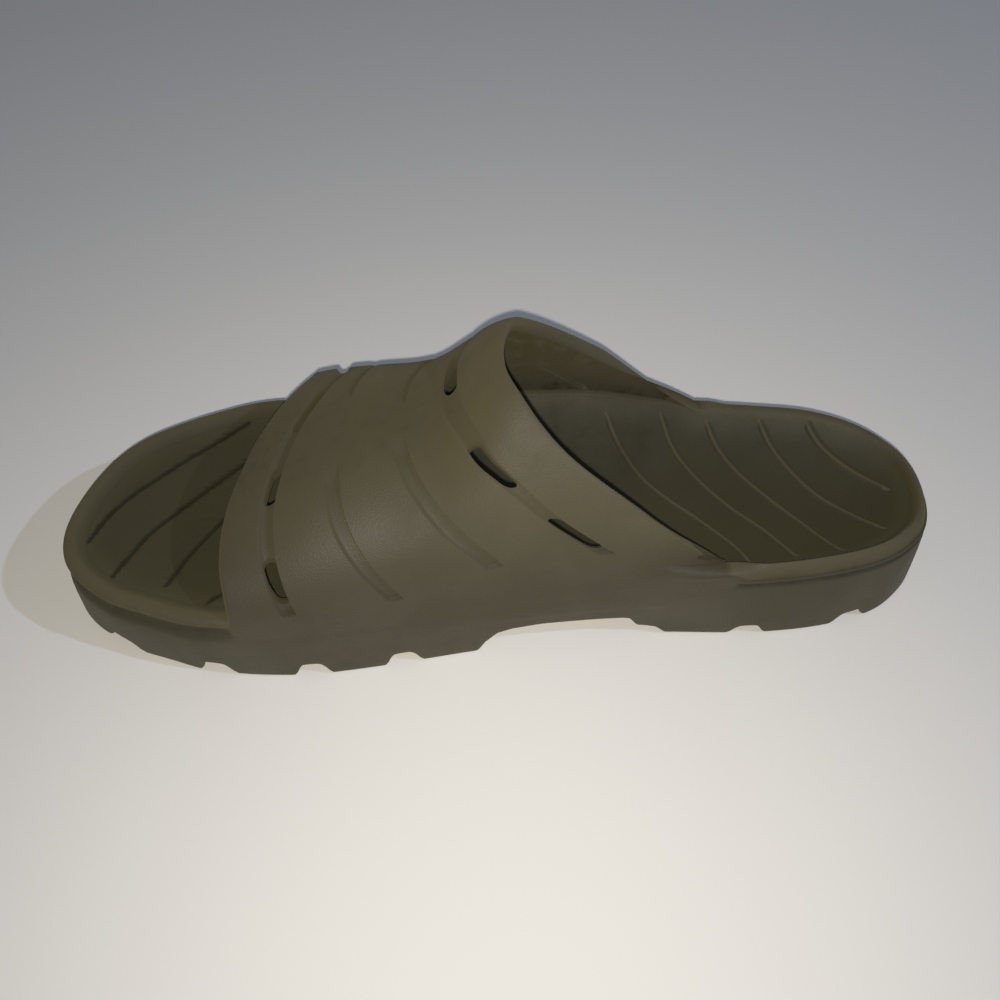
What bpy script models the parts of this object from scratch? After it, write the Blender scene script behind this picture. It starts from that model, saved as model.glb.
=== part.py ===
# Sport slide sandal, right shoe, moulded whole in one shot of closed-cell foam.
# Metres, +Z up. +X runs from heel to toe, +Y is the medial side (the big toe's side).
# The origin lies on the floor under the middle of the shoe's bounding box.
#
# One skin is lofted over the whole shoe: the underside, the side wall with its lip,
# the rim, the footbed, and the strap that rises out of the side wall on both sides.
# Cutters then make the slots of the strap, the tread notches and the raised shank.

import math

import bmesh
import bpy
import numpy as np

# Driving dimensions
SHOE_LENGTH = 0.297
BALL_WIDTH = 0.107
RIM_HEIGHT = 0.0385
INSTEP_HEIGHT = 0.101
TOE_SPRING = 0.008
HEEL_BEVEL = 0.003
SIDE_TAPER = 0.0065
SOLE_EDGE_ROUND = 0.0016
SIDE_TOP_INSET = 0.0003
LIP_HEIGHT = 0.0050
LIP_GROOVE_WIDTH = 0.0022
LIP_GROOVE_DEPTH = 0.0020
LIP_EDGE_INSET = 0.0002
LIP_LEAN = 0.0008
RIM_WIDTH = 0.0055
BED_EDGE_WIDTH = 0.0016
BED_EDGE_DROP = 0.0011
FOOTBED_DEPTH = 0.0135
STRAP_WALL = 0.0048
STRAP_FOOT_FILLET = 0.0025
STRAP_FOOT_FILLET_TURN = 3.0
STRAP_FRONT_FILLET_SHARE = 0.3
STRAP_EDGE_ROUND = 0.0014
CREST_OFFSET = 0.0045
CHANNEL_DEPTH = 0.0018
CHANNEL_WIDTH = 0.0054
CHANNEL_SHARP_EDGE = 0.0004
CHANNEL_SOFT_EDGE = 0.0014
SLOT_WIDTH = 0.0043
SLOT_OFFSET = 0.0023
NOTCH_DEPTH = 0.0050
NOTCH_WIDTH = 0.0118
NOTCH_STEEP_RUN = 0.0029
NOTCH_SLOPE_RUN = 0.0042
SHANK_RISE = 0.0135
CUT_MARGIN = 0.004
SLOT_OVERRUN = 0.0045

# Powers of the curves that shape the strap's arch, the side wall and the footbed
ARCH_WIDTH_POWER = 0.92
ARCH_HEIGHT_POWER = 0.82
SIDE_BULGE = 1.4
BED_DISH = 2.4
BED_RING_POWER = 0.85

# Places on the lip and the rim, as shares of their height or width
LIP_LOW_SHARE = 0.65
LIP_TOP_SHARE = 0.35
LIP_CREST_SHARE = 0.17
RIM_CREST_SHARE = 0.42
RIM_EDGE_DROP_SHARE = 0.03

# Shares of SHOE_LENGTH over which features fade in
LIP_REAR_FADE = 0.045
LIP_FRONT_FADE = 0.020
LEDGE_REAR_FADE = 0.07
LEDGE_FRONT_FADE = 0.05

# Angles in degrees of the strap's arch: the fade of a channel's end, how far the
# strap's inner face starts above its outer foot, and where the slots' walls, which
# are square to the strap at its feet, come to stand upright
CHANNEL_END_TURN = 2.5
INNER_FOOT_TURN = 0.8
LEDGE_TURN = 2.0
LEDGE_SLOPE_TURN = 5.0
SLOT_SQUARE_TURN = 8.0
SLOT_UPRIGHT_TURN = 38.0
SLOT_UPRIGHT_SHARE = 0.5

# Resolution of the loft
HEEL_COLUMNS = 13
TOE_COLUMNS = 13
ARCH_ROWS = 40
ARCH_ROW_CROWDING = 0.6
BED_RINGS = 6
UNDERSIDE_RINGS = 3

# Stations between which the rings of the underside and of the footbed close
SPINE_SPAN = (0.14, 0.86)

# Outline of the rim seen from above.
# station: share of SHOE_LENGTH from the heel; centre and half: shares of BALL_WIDTH
OUTLINE = {
    "station": (0.000, 0.012, 0.031, 0.052, 0.075, 0.120, 0.186, 0.241, 0.357, 0.456, 0.554,
                0.653, 0.743, 0.802, 0.844, 0.890, 0.936, 0.957, 0.972, 0.983, 0.992, 1.000),
    "centre": (0.021, 0.019, 0.017, 0.016, 0.016, 0.017, 0.018, 0.012, 0.002,
               -0.003, -0.004, -0.003, 0.000, 0.004, 0.013, 0.018, 0.033, 0.045,
               0.063, 0.079, 0.094, 0.107),
    "half": (0.0, 0.152, 0.221, 0.271, 0.307, 0.350, 0.379, 0.394, 0.405, 0.425, 0.453,
             0.484, 0.501, 0.494, 0.468, 0.417, 0.348, 0.293, 0.239, 0.186, 0.127, 0.0),
}

# Heights along the shoe.
# rim: share of RIM_HEIGHT; bed: depth of the footbed under the rim, share of
# FOOTBED_DEPTH; taper: inset of the sole's lower edge, share of SIDE_TAPER;
# spring: share of TOE_SPRING; bevel: share of HEEL_BEVEL
PROFILE = {
    "station": (0.0, 0.05, 0.12, 0.20, 0.30, 0.50, 0.60, 0.70, 0.85, 0.93, 1.0),
    "rim": (0.896, 0.935, 0.987, 1.0, 1.0, 0.948, 0.920, 0.896, 0.857, 0.862, 0.880),
    "bed": (0.75, 0.88, 1.0, 1.0, 0.95, 0.90, 0.88, 0.80, 0.44, 0.32, 0.24),
    "taper": (0.25, 0.36, 0.56, 0.74, 1.02, 0.82, 0.60, 0.46, 0.74, 0.60, 0.15),
    "spring": (0.0, 0.0, 0.0, 0.0, 0.0, 0.0, 0.0, 0.0, 0.02, 0.25, 1.0),
    "bevel": (1.0, 0.10, 0.0, 0.0, 0.0, 0.0, 0.0, 0.0, 0.0, 0.0, 0.0),
}

# Height of the strap's crest along the shoe, share of INSTEP_HEIGHT
CREST = {
    "station": (0.208, 0.307, 0.386, 0.456, 0.480, 0.505, 0.535, 0.564, 0.589, 0.624,
                0.663, 0.703, 0.743, 0.782, 0.822, 0.861),
    "height": (0.910, 0.960, 0.990, 1.000, 0.995, 0.955, 0.861, 0.777, 0.743, 0.723,
               0.703, 0.672, 0.618, 0.565, 0.510, 0.455),
}

# Lines that run over the strap from the medial foot to the lateral foot.
# Each row holds stations along the shoe at the arch angles of ARCH_ANGLES.
ARCH_ANGLES = (0.0, 22.5, 45.0, 67.5, 90.0, 112.5, 135.0, 157.5, 180.0)
STRAP_LINES = {
    "rear_edge": (0.262, 0.350, 0.430, 0.473, 0.495, 0.488, 0.458, 0.378, 0.253),
    "rear_channel": (0.337, 0.436, 0.496, 0.523, 0.540, 0.537, 0.507, 0.444, 0.337),
    "heelward_groove": (0.475, 0.529, 0.564, 0.590, 0.601, 0.592, 0.566, 0.525, 0.467),
    "toeward_groove": (0.598, 0.635, 0.660, 0.670, 0.671, 0.658, 0.640, 0.616, 0.584),
    "front_channel": (0.719, 0.732, 0.741, 0.741, 0.726, 0.693, 0.670, 0.679, 0.693),
    "front_edge": (0.792, 0.796, 0.801, 0.798, 0.781, 0.749, 0.715, 0.722, 0.757),
}

# Channels of the strap: the arch angles between which each one is sunk
CHANNEL_SPANS = {
    "rear_channel": ((8.5, 171.5),),
    "heelward_groove": ((8.5, 80.0), (100.0, 171.5)),
    "toeward_groove": ((4.0, 74.0), (106.0, 176.0)),
    "front_channel": ((3.0, 177.0),),
}

# Slots through the strap: the arch angles between which each one is open
SLOT_SPANS = {
    "rear_channel": ((11.0, 23.0), (36.0, 63.0), (95.0, 121.0), (160.0, 171.0)),
    "front_channel": ((10.0, 41.0), (67.0, 84.0), (97.0, 118.0), (139.0, 170.0)),
}

# Tread notches: middle station, share of NOTCH_DEPTH, and the side of the steeper
# wall (+1 toe, -1 heel)
NOTCHES = {
    "station": (0.097, 0.218, 0.613, 0.716, 0.825, 0.934),
    "depth": (1.0, 1.0, 1.35, 1.35, 1.45, 1.2),
    "steep_side": (-1, -1, 1, 1, 1, 1),
}

# Underside of the raised shank: station and share of SHANK_RISE
SHANK = {
    "station": (0.312, 0.322, 0.345, 0.354, 0.362, 0.400, 0.456, 0.490, 0.507, 0.529),
    "rise": (0.0, 0.22, 0.35, 0.83, 0.91, 0.96, 1.0, 0.92, 0.77, 0.0),
}

PART_NAME = "sport_slide_sandal"
CUTTER_COLLECTION = "cutters"


def hermite(stations, values, at):
    # A smooth curve through the rows of a table
    stations = np.asarray(stations, float)
    values = np.asarray(values, float)
    at = np.asarray(at, float)
    gaps = np.diff(stations)
    rises = np.diff(values) / gaps
    slopes = np.empty_like(values)
    slopes[1:-1] = (rises[:-1] * gaps[1:] + rises[1:] * gaps[:-1]) / (gaps[:-1] + gaps[1:])
    slopes[0] = rises[0]
    slopes[-1] = rises[-1]
    row = np.clip(np.searchsorted(stations, at, side="right") - 1, 0, len(stations) - 2)
    u = (at - stations[row]) / gaps[row]
    rise = (3.0 - 2.0 * u) * u * u
    left = (1.0 - rise) * values[row] + u * (1.0 - u) ** 2 * gaps[row] * slopes[row]
    right = rise * values[row + 1] - u * u * (1.0 - u) * gaps[row] * slopes[row + 1]
    return left + right


def smooth_step(low, high, value):
    u = np.clip((value - low) / (high - low), 0.0, 1.0)
    return u * u * (3.0 - 2.0 * u)


def sweep_angle(station):
    # Stations spread like the angles of a circle, so that heel and toe come out round
    return np.arccos(1.0 - 2.0 * np.clip(station, 0.0, 1.0))


def half_width(station):
    angles = sweep_angle(np.array(OUTLINE["station"]))
    halves = np.array(OUTLINE["half"])
    angles = np.concatenate(([-angles[1]], angles, [2.0 * math.pi - angles[-2]]))
    halves = np.concatenate(([-halves[1]], halves, [-halves[-2]]))
    return BALL_WIDTH * hermite(angles, halves, sweep_angle(station))


def centre_line(station):
    angles = sweep_angle(np.array(OUTLINE["station"]))
    return BALL_WIDTH * hermite(angles, OUTLINE["centre"], sweep_angle(station))


def profile(column, station):
    return hermite(PROFILE["station"], PROFILE[column], station)


def rim_height(station):
    return RIM_HEIGHT * profile("rim", station)


def underside_height(station):
    spring = TOE_SPRING * np.maximum(profile("spring", station), 0.0)
    bevel = HEEL_BEVEL * np.maximum(profile("bevel", station), 0.0)
    return spring + bevel


def station_x(station):
    return SHOE_LENGTH * (station - 0.5)


def outline_point(station, side):
    # side is +1 on the medial side and -1 on the lateral side
    x = station_x(station)
    y = centre_line(station) + side * half_width(station)
    return np.stack([x, y], axis=-1)


def inward_normals(points):
    # Normals of a closed outline whose points run heel, medial side, toe, lateral side
    tangent = np.roll(points, -1, axis=0) - np.roll(points, 1, axis=0)
    normal = np.stack([tangent[:, 1], -tangent[:, 0]], axis=-1)
    return normal / np.linalg.norm(normal, axis=1, keepdims=True)


def strap_line(name, angle):
    return hermite(ARCH_ANGLES, STRAP_LINES[name], angle)


def foot_fillet(angle):
    # Share of the shoe's length by which an edge of the strap flares into the rim
    turn = STRAP_FOOT_FILLET_TURN
    flare = np.exp(-angle / turn) + np.exp((angle - 180.0) / turn)
    return STRAP_FOOT_FILLET / SHOE_LENGTH * flare


def strap_base_height(station):
    return rim_height(station) - LIP_TOP_SHARE * LIP_HEIGHT


def strap_surface(station, angle):
    # Outer face of the strap without its channels: an arch across the shoe at each
    # station, from the medial side wall at 0 degrees to the lateral one at 180
    turn = np.radians(angle)
    across = np.cos(turn)
    up = np.sin(turn)
    crest = CREST_OFFSET
    half = half_width(station)
    middle = centre_line(station)
    reach = np.where(across >= 0.0, middle + half - crest, crest - middle + half)
    base = strap_base_height(station)
    top = INSTEP_HEIGHT * hermite(CREST["station"], CREST["height"], station)
    y = crest + reach * np.sign(across) * np.abs(across) ** ARCH_WIDTH_POWER
    z = base + (top - base) * np.abs(up) ** ARCH_HEIGHT_POWER
    return np.stack([station_x(station) + 0.0 * y, y, z], axis=-1)


def strap_normal(station, angle):
    # Outward normal of the arch, by differences along and across it
    step = 0.002
    turn = np.clip(angle, 1.0, 179.0)
    along = strap_surface(station + step, turn) - strap_surface(station - step, turn)
    across = strap_surface(station, turn + 0.5) - strap_surface(station, turn - 0.5)
    normal = np.cross(across, along)
    return normal / np.linalg.norm(normal, axis=-1, keepdims=True)


def channel_window(spans, angle):
    # 1 where the channel has its full depth, 0 beyond its ends
    window = np.zeros_like(angle)
    for start, end in spans:
        inside = smooth_step(start, start + CHANNEL_END_TURN, angle)
        inside = inside * smooth_step(-end, CHANNEL_END_TURN - end, -angle)
        window = np.maximum(window, inside)
    return window


def strap_columns(angle):
    # Stations and depths of the loft's columns from the rear edge to the front edge
    rear = strap_line("rear_edge", angle) - foot_fillet(angle)
    front = strap_line("front_edge", angle) + STRAP_FRONT_FILLET_SHARE * foot_fillet(angle)
    flat = np.zeros_like(angle)
    columns = [(rear, flat)]
    previous = rear
    metre = 1.0 / SHOE_LENGTH
    for name in CHANNEL_SPANS:
        line = strap_line(name, angle)
        shares = (1.0 / 3.0, 2.0 / 3.0) if name == "rear_channel" else (0.5,)
        for share in shares:
            columns.append((previous + (line - previous) * share, flat))
        depth = CHANNEL_DEPTH * channel_window(CHANNEL_SPANS[name], angle)
        far_side = line + CHANNEL_WIDTH * metre
        columns.append((line, flat))
        columns.append((line + CHANNEL_SHARP_EDGE * metre, depth))
        columns.append((far_side - CHANNEL_SOFT_EDGE * metre, depth))
        columns.append((far_side, flat))
        previous = far_side
    columns.append((0.5 * (previous + front), flat))
    columns.append((front, flat))
    stations = np.stack([column[0] for column in columns])
    depths = np.stack([column[1] for column in columns])
    return stations, depths


def arch_angles():
    # Rows of the strap, closer together near its feet, where the channels end
    share = np.linspace(0.0, 1.0, ARCH_ROWS + 1)
    full = 2.0 * math.pi
    return 180.0 * (share - ARCH_ROW_CROWDING / full * np.sin(full * share))


def column_stations(foot_stations):
    # Stations of one side: heel, the strap's foot, toe
    rear = foot_stations[0]
    front = foot_stations[-1]
    heel_share = np.linspace(0.0, 1.0, HEEL_COLUMNS + 1)[:-1]
    toe_share = np.linspace(0.0, 1.0, TOE_COLUMNS + 1)[1:]
    heel_turn = sweep_angle(rear) * heel_share
    toe_turn = sweep_angle(front) + (math.pi - sweep_angle(front)) * toe_share
    heel = 0.5 * (1.0 - np.cos(heel_turn))
    toe = 0.5 * (1.0 - np.cos(toe_turn))
    return np.concatenate((heel, foot_stations, toe))


def side_rows(station, under_strap):
    # Inset and height of each row of the side wall, from the underside to the lip.
    # Under the strap the lip and its groove fade into the wall.
    low = underside_height(station)
    rim = rim_height(station)
    taper = SIDE_TAPER * profile("taper", station)
    shoulder = rim - LIP_HEIGHT - LIP_GROOVE_WIDTH
    free = 1.0 - under_strap
    groove = LIP_GROOVE_DEPTH
    edge = ((1.0, 0.0), (0.30, 0.30), (0.0, 1.0))
    rows = []
    for inset_share, height_share in edge:
        rows.append((taper + SOLE_EDGE_ROUND * inset_share,
                     low + SOLE_EDGE_ROUND * height_share))
    for share in (0.30, 0.65, 1.0):
        height = low + SOLE_EDGE_ROUND + share * (shoulder - low - SOLE_EDGE_ROUND)
        rows.append((taper * (1.0 - share) ** SIDE_BULGE + SIDE_TOP_INSET * share, height))
    sunk = SIDE_TOP_INSET + free * groove
    rows.append((sunk, shoulder + 0.30 * LIP_GROOVE_WIDTH))
    rows.append((sunk, shoulder + 0.75 * LIP_GROOVE_WIDTH))
    rows.append((LIP_EDGE_INSET * (1.0 + free), rim - LIP_HEIGHT))
    rows.append((0.0 * station, rim - LIP_LOW_SHARE * LIP_HEIGHT))
    top = rim - LIP_TOP_SHARE * LIP_HEIGHT
    rows.append((free * LIP_LEAN, top + free * LIP_CREST_SHARE * LIP_HEIGHT))
    return rows


def add_ring(builder, points):
    # Adds a row of points and returns their vertices
    return [builder.verts.new(point) for point in points]


def bridge(builder, first, second, closed):
    # Quads between two rows of vertices
    count = len(first)
    last = count if closed else count - 1
    for i in range(last):
        j = (i + 1) % count
        corners = []
        for vertex in (first[i], first[j], second[j], second[i]):
            if vertex not in corners:
                corners.append(vertex)
        builder.faces.new(corners)


def spine_points(count, heights):
    # The middle line on which the rings of the underside and of the footbed close
    station = np.linspace(*SPINE_SPAN, count)
    return np.stack([station_x(station), centre_line(station), heights(station)], axis=-1)


def footbed_height(station):
    return rim_height(station) - FOOTBED_DEPTH * profile("bed", station)


def build_skin():
    # The whole outer and inner face of the moulding as one closed mesh
    builder = bmesh.new()
    angles = arch_angles()
    stations, depths = strap_columns(angles)
    medial = column_stations(stations[:, 0])
    lateral = column_stations(stations[:, -1])
    last = len(medial) - 1
    rear_column = HEEL_COLUMNS
    front_column = last - TOE_COLUMNS
    station = np.concatenate((medial, lateral[-2:0:-1]))
    side = np.concatenate((np.ones(last + 1), -np.ones(last - 1)))
    index = np.concatenate((np.arange(last + 1), np.arange(last - 1, 0, -1)))
    outline = outline_point(station, side)
    normals = inward_normals(outline)
    in_strap = (index >= rear_column) & (index <= front_column)
    rear = np.where(side > 0.0, stations[0, 0], stations[0, -1])
    front = np.where(side > 0.0, stations[-1, 0], stations[-1, -1])
    under_strap = smooth_step(rear - LIP_REAR_FADE, rear, station)
    under_strap = under_strap * (1.0 - smooth_step(front, front + LIP_FRONT_FADE, station))

    def ring(inset, height):
        plan = outline + normals * np.asarray(inset)[:, None]
        return np.concatenate((plan, np.asarray(height)[:, None]), axis=1)

    # Underside, from the middle line out to the sole's edge
    rows = side_rows(station, under_strap)
    low_edge = ring(*rows[0])
    spine = spine_points(last + 1, underside_height)
    spine_row = add_ring(builder, spine)
    previous = [spine_row[k] for k in index]
    for step in range(1, UNDERSIDE_RINGS):
        share = step / UNDERSIDE_RINGS
        points = spine[index] + (low_edge - spine[index]) * share
        points[:, 2] = underside_height(points[:, 0] / SHOE_LENGTH + 0.5)
        current = add_ring(builder, points)
        bridge(builder, previous, current, True)
        previous = current

    # Side wall up to the lip
    for inset, height in rows:
        current = add_ring(builder, ring(inset, height))
        bridge(builder, previous, current, True)
        previous = current
    lip_row = previous

    # Outer and inner faces of the strap
    # Inside, the strap stands on a ledge that rises from both of its edges
    rise = smooth_step(0.0, LEDGE_REAR_FADE, stations - stations[:1])
    rise = rise * smooth_step(0.0, LEDGE_FRONT_FADE, stations[-1:] - stations)
    start = INNER_FOOT_TURN + rise * (LEDGE_TURN + LEDGE_SLOPE_TURN * (stations[-1:] - stations))
    turn = start + angles[None, :] * (1.0 - start / 90.0)
    outer = strap_surface(stations, angles[None, :])
    outer = outer - strap_normal(stations, angles[None, :]) * depths[..., None]
    inner = strap_surface(stations, turn) - strap_normal(stations, turn) * STRAP_WALL
    medial_foot = list(range(rear_column, front_column + 1))
    lateral_foot = [(2 * last - k) % (2 * last) for k in medial_foot]

    # Rim crest and the inner edge, which carries the strap's inner face
    rim = rim_height(station)
    crest_points = ring(RIM_CREST_SHARE * RIM_WIDTH + 0.0 * station, rim)
    edge_height = rim - RIM_EDGE_DROP_SHARE * LIP_HEIGHT
    inner_points = ring(RIM_WIDTH + 0.0 * station, edge_height)
    for foot, row in ((medial_foot, 0), (lateral_foot, -1)):
        inner_points[foot] = inner[:, row]
    crest_row = {}
    for k in range(2 * last):
        if not in_strap[k] or index[k] in (rear_column, front_column):
            crest_row[k] = builder.verts.new(crest_points[k])
    inner_row = add_ring(builder, inner_points)
    for k in range(2 * last):
        j = (k + 1) % (2 * last)
        if k in crest_row and j in crest_row:
            builder.faces.new((lip_row[k], lip_row[j], crest_row[j], crest_row[k]))
            builder.faces.new((crest_row[k], crest_row[j], inner_row[j], inner_row[k]))

    # Footbed, from the rim down to its middle line
    spine = spine_points(last + 1, footbed_height)
    inward = np.column_stack((normals * BED_EDGE_WIDTH, np.full(2 * last, -BED_EDGE_DROP)))
    edge = inner_points + inward
    previous = add_ring(builder, edge)
    bridge(builder, inner_row, previous, True)
    for step in range(1, BED_RINGS):
        share = 1.0 - (step / BED_RINGS) ** BED_RING_POWER
        points = spine[index] + (edge - spine[index]) * share
        own = points[:, 0] / SHOE_LENGTH + 0.5
        floor = footbed_height(own)
        points[:, 2] = floor + (edge[:, 2] - floor) * share ** BED_DISH
        current = add_ring(builder, points)
        bridge(builder, previous, current, True)
        previous = current
    spine_row = add_ring(builder, spine)
    bridge(builder, previous, [spine_row[k] for k in index], True)

    # Strap: its first and last rows are the rows of the side wall and of the rim
    count = len(angles)
    outer_rows = [[lip_row[k] for k in medial_foot]]
    inner_rows = [[inner_row[k] for k in medial_foot]]
    for row in range(1, count - 1):
        outer_rows.append(add_ring(builder, outer[:, row]))
        inner_rows.append(add_ring(builder, inner[:, row]))
    outer_rows.append([lip_row[k] for k in lateral_foot])
    inner_rows.append([inner_row[k] for k in lateral_foot])
    for row in range(count - 1):
        bridge(builder, outer_rows[row], outer_rows[row + 1], False)
        bridge(builder, inner_rows[row + 1], inner_rows[row], False)

    # Rounded front and rear edges of the strap
    for column, neighbour in ((0, 1), (-1, -2)):
        feet = (medial_foot[column], lateral_foot[column])
        outward = outer[column] - outer[neighbour]
        outward = outward / np.linalg.norm(outward, axis=1, keepdims=True)
        middle = 0.5 * (outer[column] + inner[column]) + STRAP_EDGE_ROUND * outward
        edge_row = [crest_row[feet[0]]]
        edge_row += add_ring(builder, middle[1:-1])
        edge_row.append(crest_row[feet[1]])
        outer_edge = [row[column] for row in outer_rows]
        inner_edge = [row[column] for row in inner_rows]
        if column == 0:
            bridge(builder, edge_row, outer_edge, False)
            bridge(builder, inner_edge, edge_row, False)
        else:
            bridge(builder, outer_edge, edge_row, False)
            bridge(builder, edge_row, inner_edge, False)
    bmesh.ops.recalc_face_normals(builder, faces=builder.faces)
    mesh = bpy.data.meshes.new(PART_NAME)
    builder.to_mesh(mesh)
    builder.free()
    return mesh


def box_loft(builder, rows):
    # Closed strip through rows of four corners each
    rings = [add_ring(builder, row) for row in rows]
    for first, second in zip(rings, rings[1:]):
        bridge(builder, first, second, True)
    builder.faces.new(rings[0])
    builder.faces.new(rings[-1])


def finish_cutter(builder, name, collection):
    bmesh.ops.recalc_face_normals(builder, faces=builder.faces)
    mesh = bpy.data.meshes.new(name)
    builder.to_mesh(mesh)
    builder.free()
    cutter = bpy.data.objects.new(name, mesh)
    cutter.hide_render = True
    cutter.display_type = "WIRE"
    collection.objects.link(cutter)
    return cutter


def slot_directions(station, angle):
    # The strap's normal, and the way in of a slot: across the shoe and mostly down
    normal = strap_normal(station, np.array(angle))
    own = min(angle, 180.0 - angle)
    upright = SLOT_UPRIGHT_SHARE * smooth_step(SLOT_SQUARE_TURN, SLOT_UPRIGHT_TURN, own)
    inward = -normal * (1.0 - upright)
    inward[0] = 0.0
    inward[2] -= upright
    return normal, inward / np.linalg.norm(inward)


def build_slot_cutters(collection):
    # One curved bar through the strap for each slot, along its channel's sharp edge
    builder = bmesh.new()
    rounding = (0.45, 0.80, 1.0, 1.0, 1.0, 1.0, 0.80, 0.45)
    spread = (0.0, 0.05, 0.14, 0.38, 0.62, 0.86, 0.95, 1.0)
    width = SLOT_WIDTH / SHOE_LENGTH
    for name, spans in SLOT_SPANS.items():
        for start, end in spans:
            rows = []
            for share, size in zip(spread, rounding):
                angle = start + (end - start) * share
                middle = strap_line(name, angle) + SLOT_OFFSET / SHOE_LENGTH
                rear = middle - 0.5 * width * size
                front = middle + 0.5 * width * size
                normal, inward = slot_directions(middle, angle)
                through = STRAP_WALL / float(-normal @ inward)
                corners = []
                for place, push in ((rear, -1.0), (front, -1.0), (front, 1.0), (rear, 1.0)):
                    reach = CUT_MARGIN if push < 0.0 else through + SLOT_OVERRUN
                    corners.append(strap_surface(place, np.array(angle)) + inward * push * reach)
                rows.append(corners)
            box_loft(builder, rows)
    return finish_cutter(builder, "slot_cutters", collection)


def prism_rows(outline, half_span):
    # The same outline in the XZ plane at both ends of a bar across the shoe
    rows = []
    for y in (-half_span, half_span):
        rows.append([(x, y, z) for x, z in outline])
    return rows


def build_tread_cutters(collection):
    # Bars across the sole for the notches between its lugs, and the raised shank
    builder = bmesh.new()
    for station, depth, steep_side in zip(*NOTCHES.values()):
        x = float(station_x(station))
        floor = float(underside_height(station))
        roof = floor + NOTCH_DEPTH * depth
        outline = []
        for toeward in (-1, 1):
            run = NOTCH_STEEP_RUN if toeward == steep_side else NOTCH_SLOPE_RUN
            mouth = x + toeward * 0.5 * NOTCH_WIDTH
            spread = toeward * run * CUT_MARGIN / NOTCH_DEPTH
            wall = [(mouth + spread, floor - CUT_MARGIN), (mouth - toeward * run, roof)]
            outline += wall[::toeward]
        box_loft(builder, prism_rows(outline, BALL_WIDTH))
    upper = [(float(station_x(s)), SHANK_RISE * r) for s, r in zip(SHANK["station"], SHANK["rise"])]
    lower = ((upper[-1][0], -CUT_MARGIN), (upper[0][0], -CUT_MARGIN))
    box_loft(builder, prism_rows(tuple(upper) + lower, BALL_WIDTH))
    return finish_cutter(builder, "tread_cutters", collection)


def foam_material():
    material = bpy.data.materials.new("olive_foam")
    material.use_nodes = True
    shader = material.node_tree.nodes["Principled BSDF"]
    shader.inputs["Base Color"].default_value = (0.115, 0.105, 0.070, 1.0)
    shader.inputs["Roughness"].default_value = 0.55
    shader.inputs["Metallic"].default_value = 0.0
    return material


def clear_scene():
    for item in list(bpy.data.objects):
        bpy.data.objects.remove(item, do_unlink=True)


def new_collection(name):
    collection = bpy.data.collections.new(name)
    bpy.context.scene.collection.children.link(collection)
    return collection


def main():
    clear_scene()
    parts = new_collection(PART_NAME)
    cutters = new_collection(CUTTER_COLLECTION)
    slide = bpy.data.objects.new("moulded_slide", build_skin())
    slide.data.materials.append(foam_material())
    parts.objects.link(slide)
    for cutter in (build_tread_cutters(cutters), build_slot_cutters(cutters)):
        cut = slide.modifiers.new(cutter.name, "BOOLEAN")
        cut.operation = "DIFFERENCE"
        cut.solver = "EXACT"
        cut.object = cutter
    slide.data.shade_smooth()
    slide.data.set_sharp_from_angle(angle=math.radians(35.0))


main()
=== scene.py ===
# Right sport slide sandal, moulded whole in olive foam.
# Metres, +X from heel to toe, +Y to the big toe's side, +Z up, standing on the floor at Z = 0.
import math

import bmesh
import bpy
import numpy as np
from mathutils import Matrix, Vector
from mathutils.bvhtree import BVHTree
from mathutils.kdtree import KDTree


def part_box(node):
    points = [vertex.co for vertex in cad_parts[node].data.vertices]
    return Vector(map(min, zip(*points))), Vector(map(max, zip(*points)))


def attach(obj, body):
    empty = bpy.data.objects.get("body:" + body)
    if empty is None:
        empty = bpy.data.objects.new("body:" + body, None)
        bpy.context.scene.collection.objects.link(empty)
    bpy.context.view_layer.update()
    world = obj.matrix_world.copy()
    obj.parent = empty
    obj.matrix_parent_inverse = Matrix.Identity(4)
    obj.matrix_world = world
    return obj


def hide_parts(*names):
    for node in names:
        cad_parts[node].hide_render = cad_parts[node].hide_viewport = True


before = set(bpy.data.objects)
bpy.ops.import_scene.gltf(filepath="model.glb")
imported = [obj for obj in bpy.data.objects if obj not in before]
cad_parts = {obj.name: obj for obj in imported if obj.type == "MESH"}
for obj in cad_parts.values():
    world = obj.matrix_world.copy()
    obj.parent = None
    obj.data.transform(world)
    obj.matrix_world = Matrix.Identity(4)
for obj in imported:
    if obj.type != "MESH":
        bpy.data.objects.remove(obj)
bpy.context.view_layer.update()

bodyLow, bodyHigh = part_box("moulded_slide")

# Sizes of the moulding
moulding = {
    "length": bodyHigh[0] - bodyLow[0],
    "ballWidth": 0.107,
    "rimHeight": 0.0385,
    "instepHeight": 0.101,
    "toeSpring": 0.008,
    "heelBevel": 0.003,
    "sideTaper": 0.0065,
    "footbedDepth": 0.0135,
    "strapWall": 0.0048,
    "crestOffset": 0.0045,
}
shoeLength = moulding["length"]
ballWidth = moulding["ballWidth"]

# Outline of the rim from above: centre and half are shares of the ball width
outline = {
    "station": [0.000, 0.012, 0.031, 0.052, 0.075, 0.120, 0.186, 0.241, 0.357, 0.456, 0.554,
                0.653, 0.743, 0.802, 0.844, 0.890, 0.936, 0.957, 0.972, 0.983, 0.992, 1.000],
    "centre": [0.021, 0.019, 0.017, 0.016, 0.016, 0.017, 0.018, 0.012, 0.002, -0.003, -0.004,
               -0.003, 0.000, 0.004, 0.013, 0.018, 0.033, 0.045, 0.063, 0.079, 0.094, 0.107],
    "half": [0.0, 0.152, 0.221, 0.271, 0.307, 0.350, 0.379, 0.394, 0.405, 0.425, 0.453,
             0.484, 0.501, 0.494, 0.468, 0.417, 0.348, 0.293, 0.239, 0.186, 0.127, 0.0],
}

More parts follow.
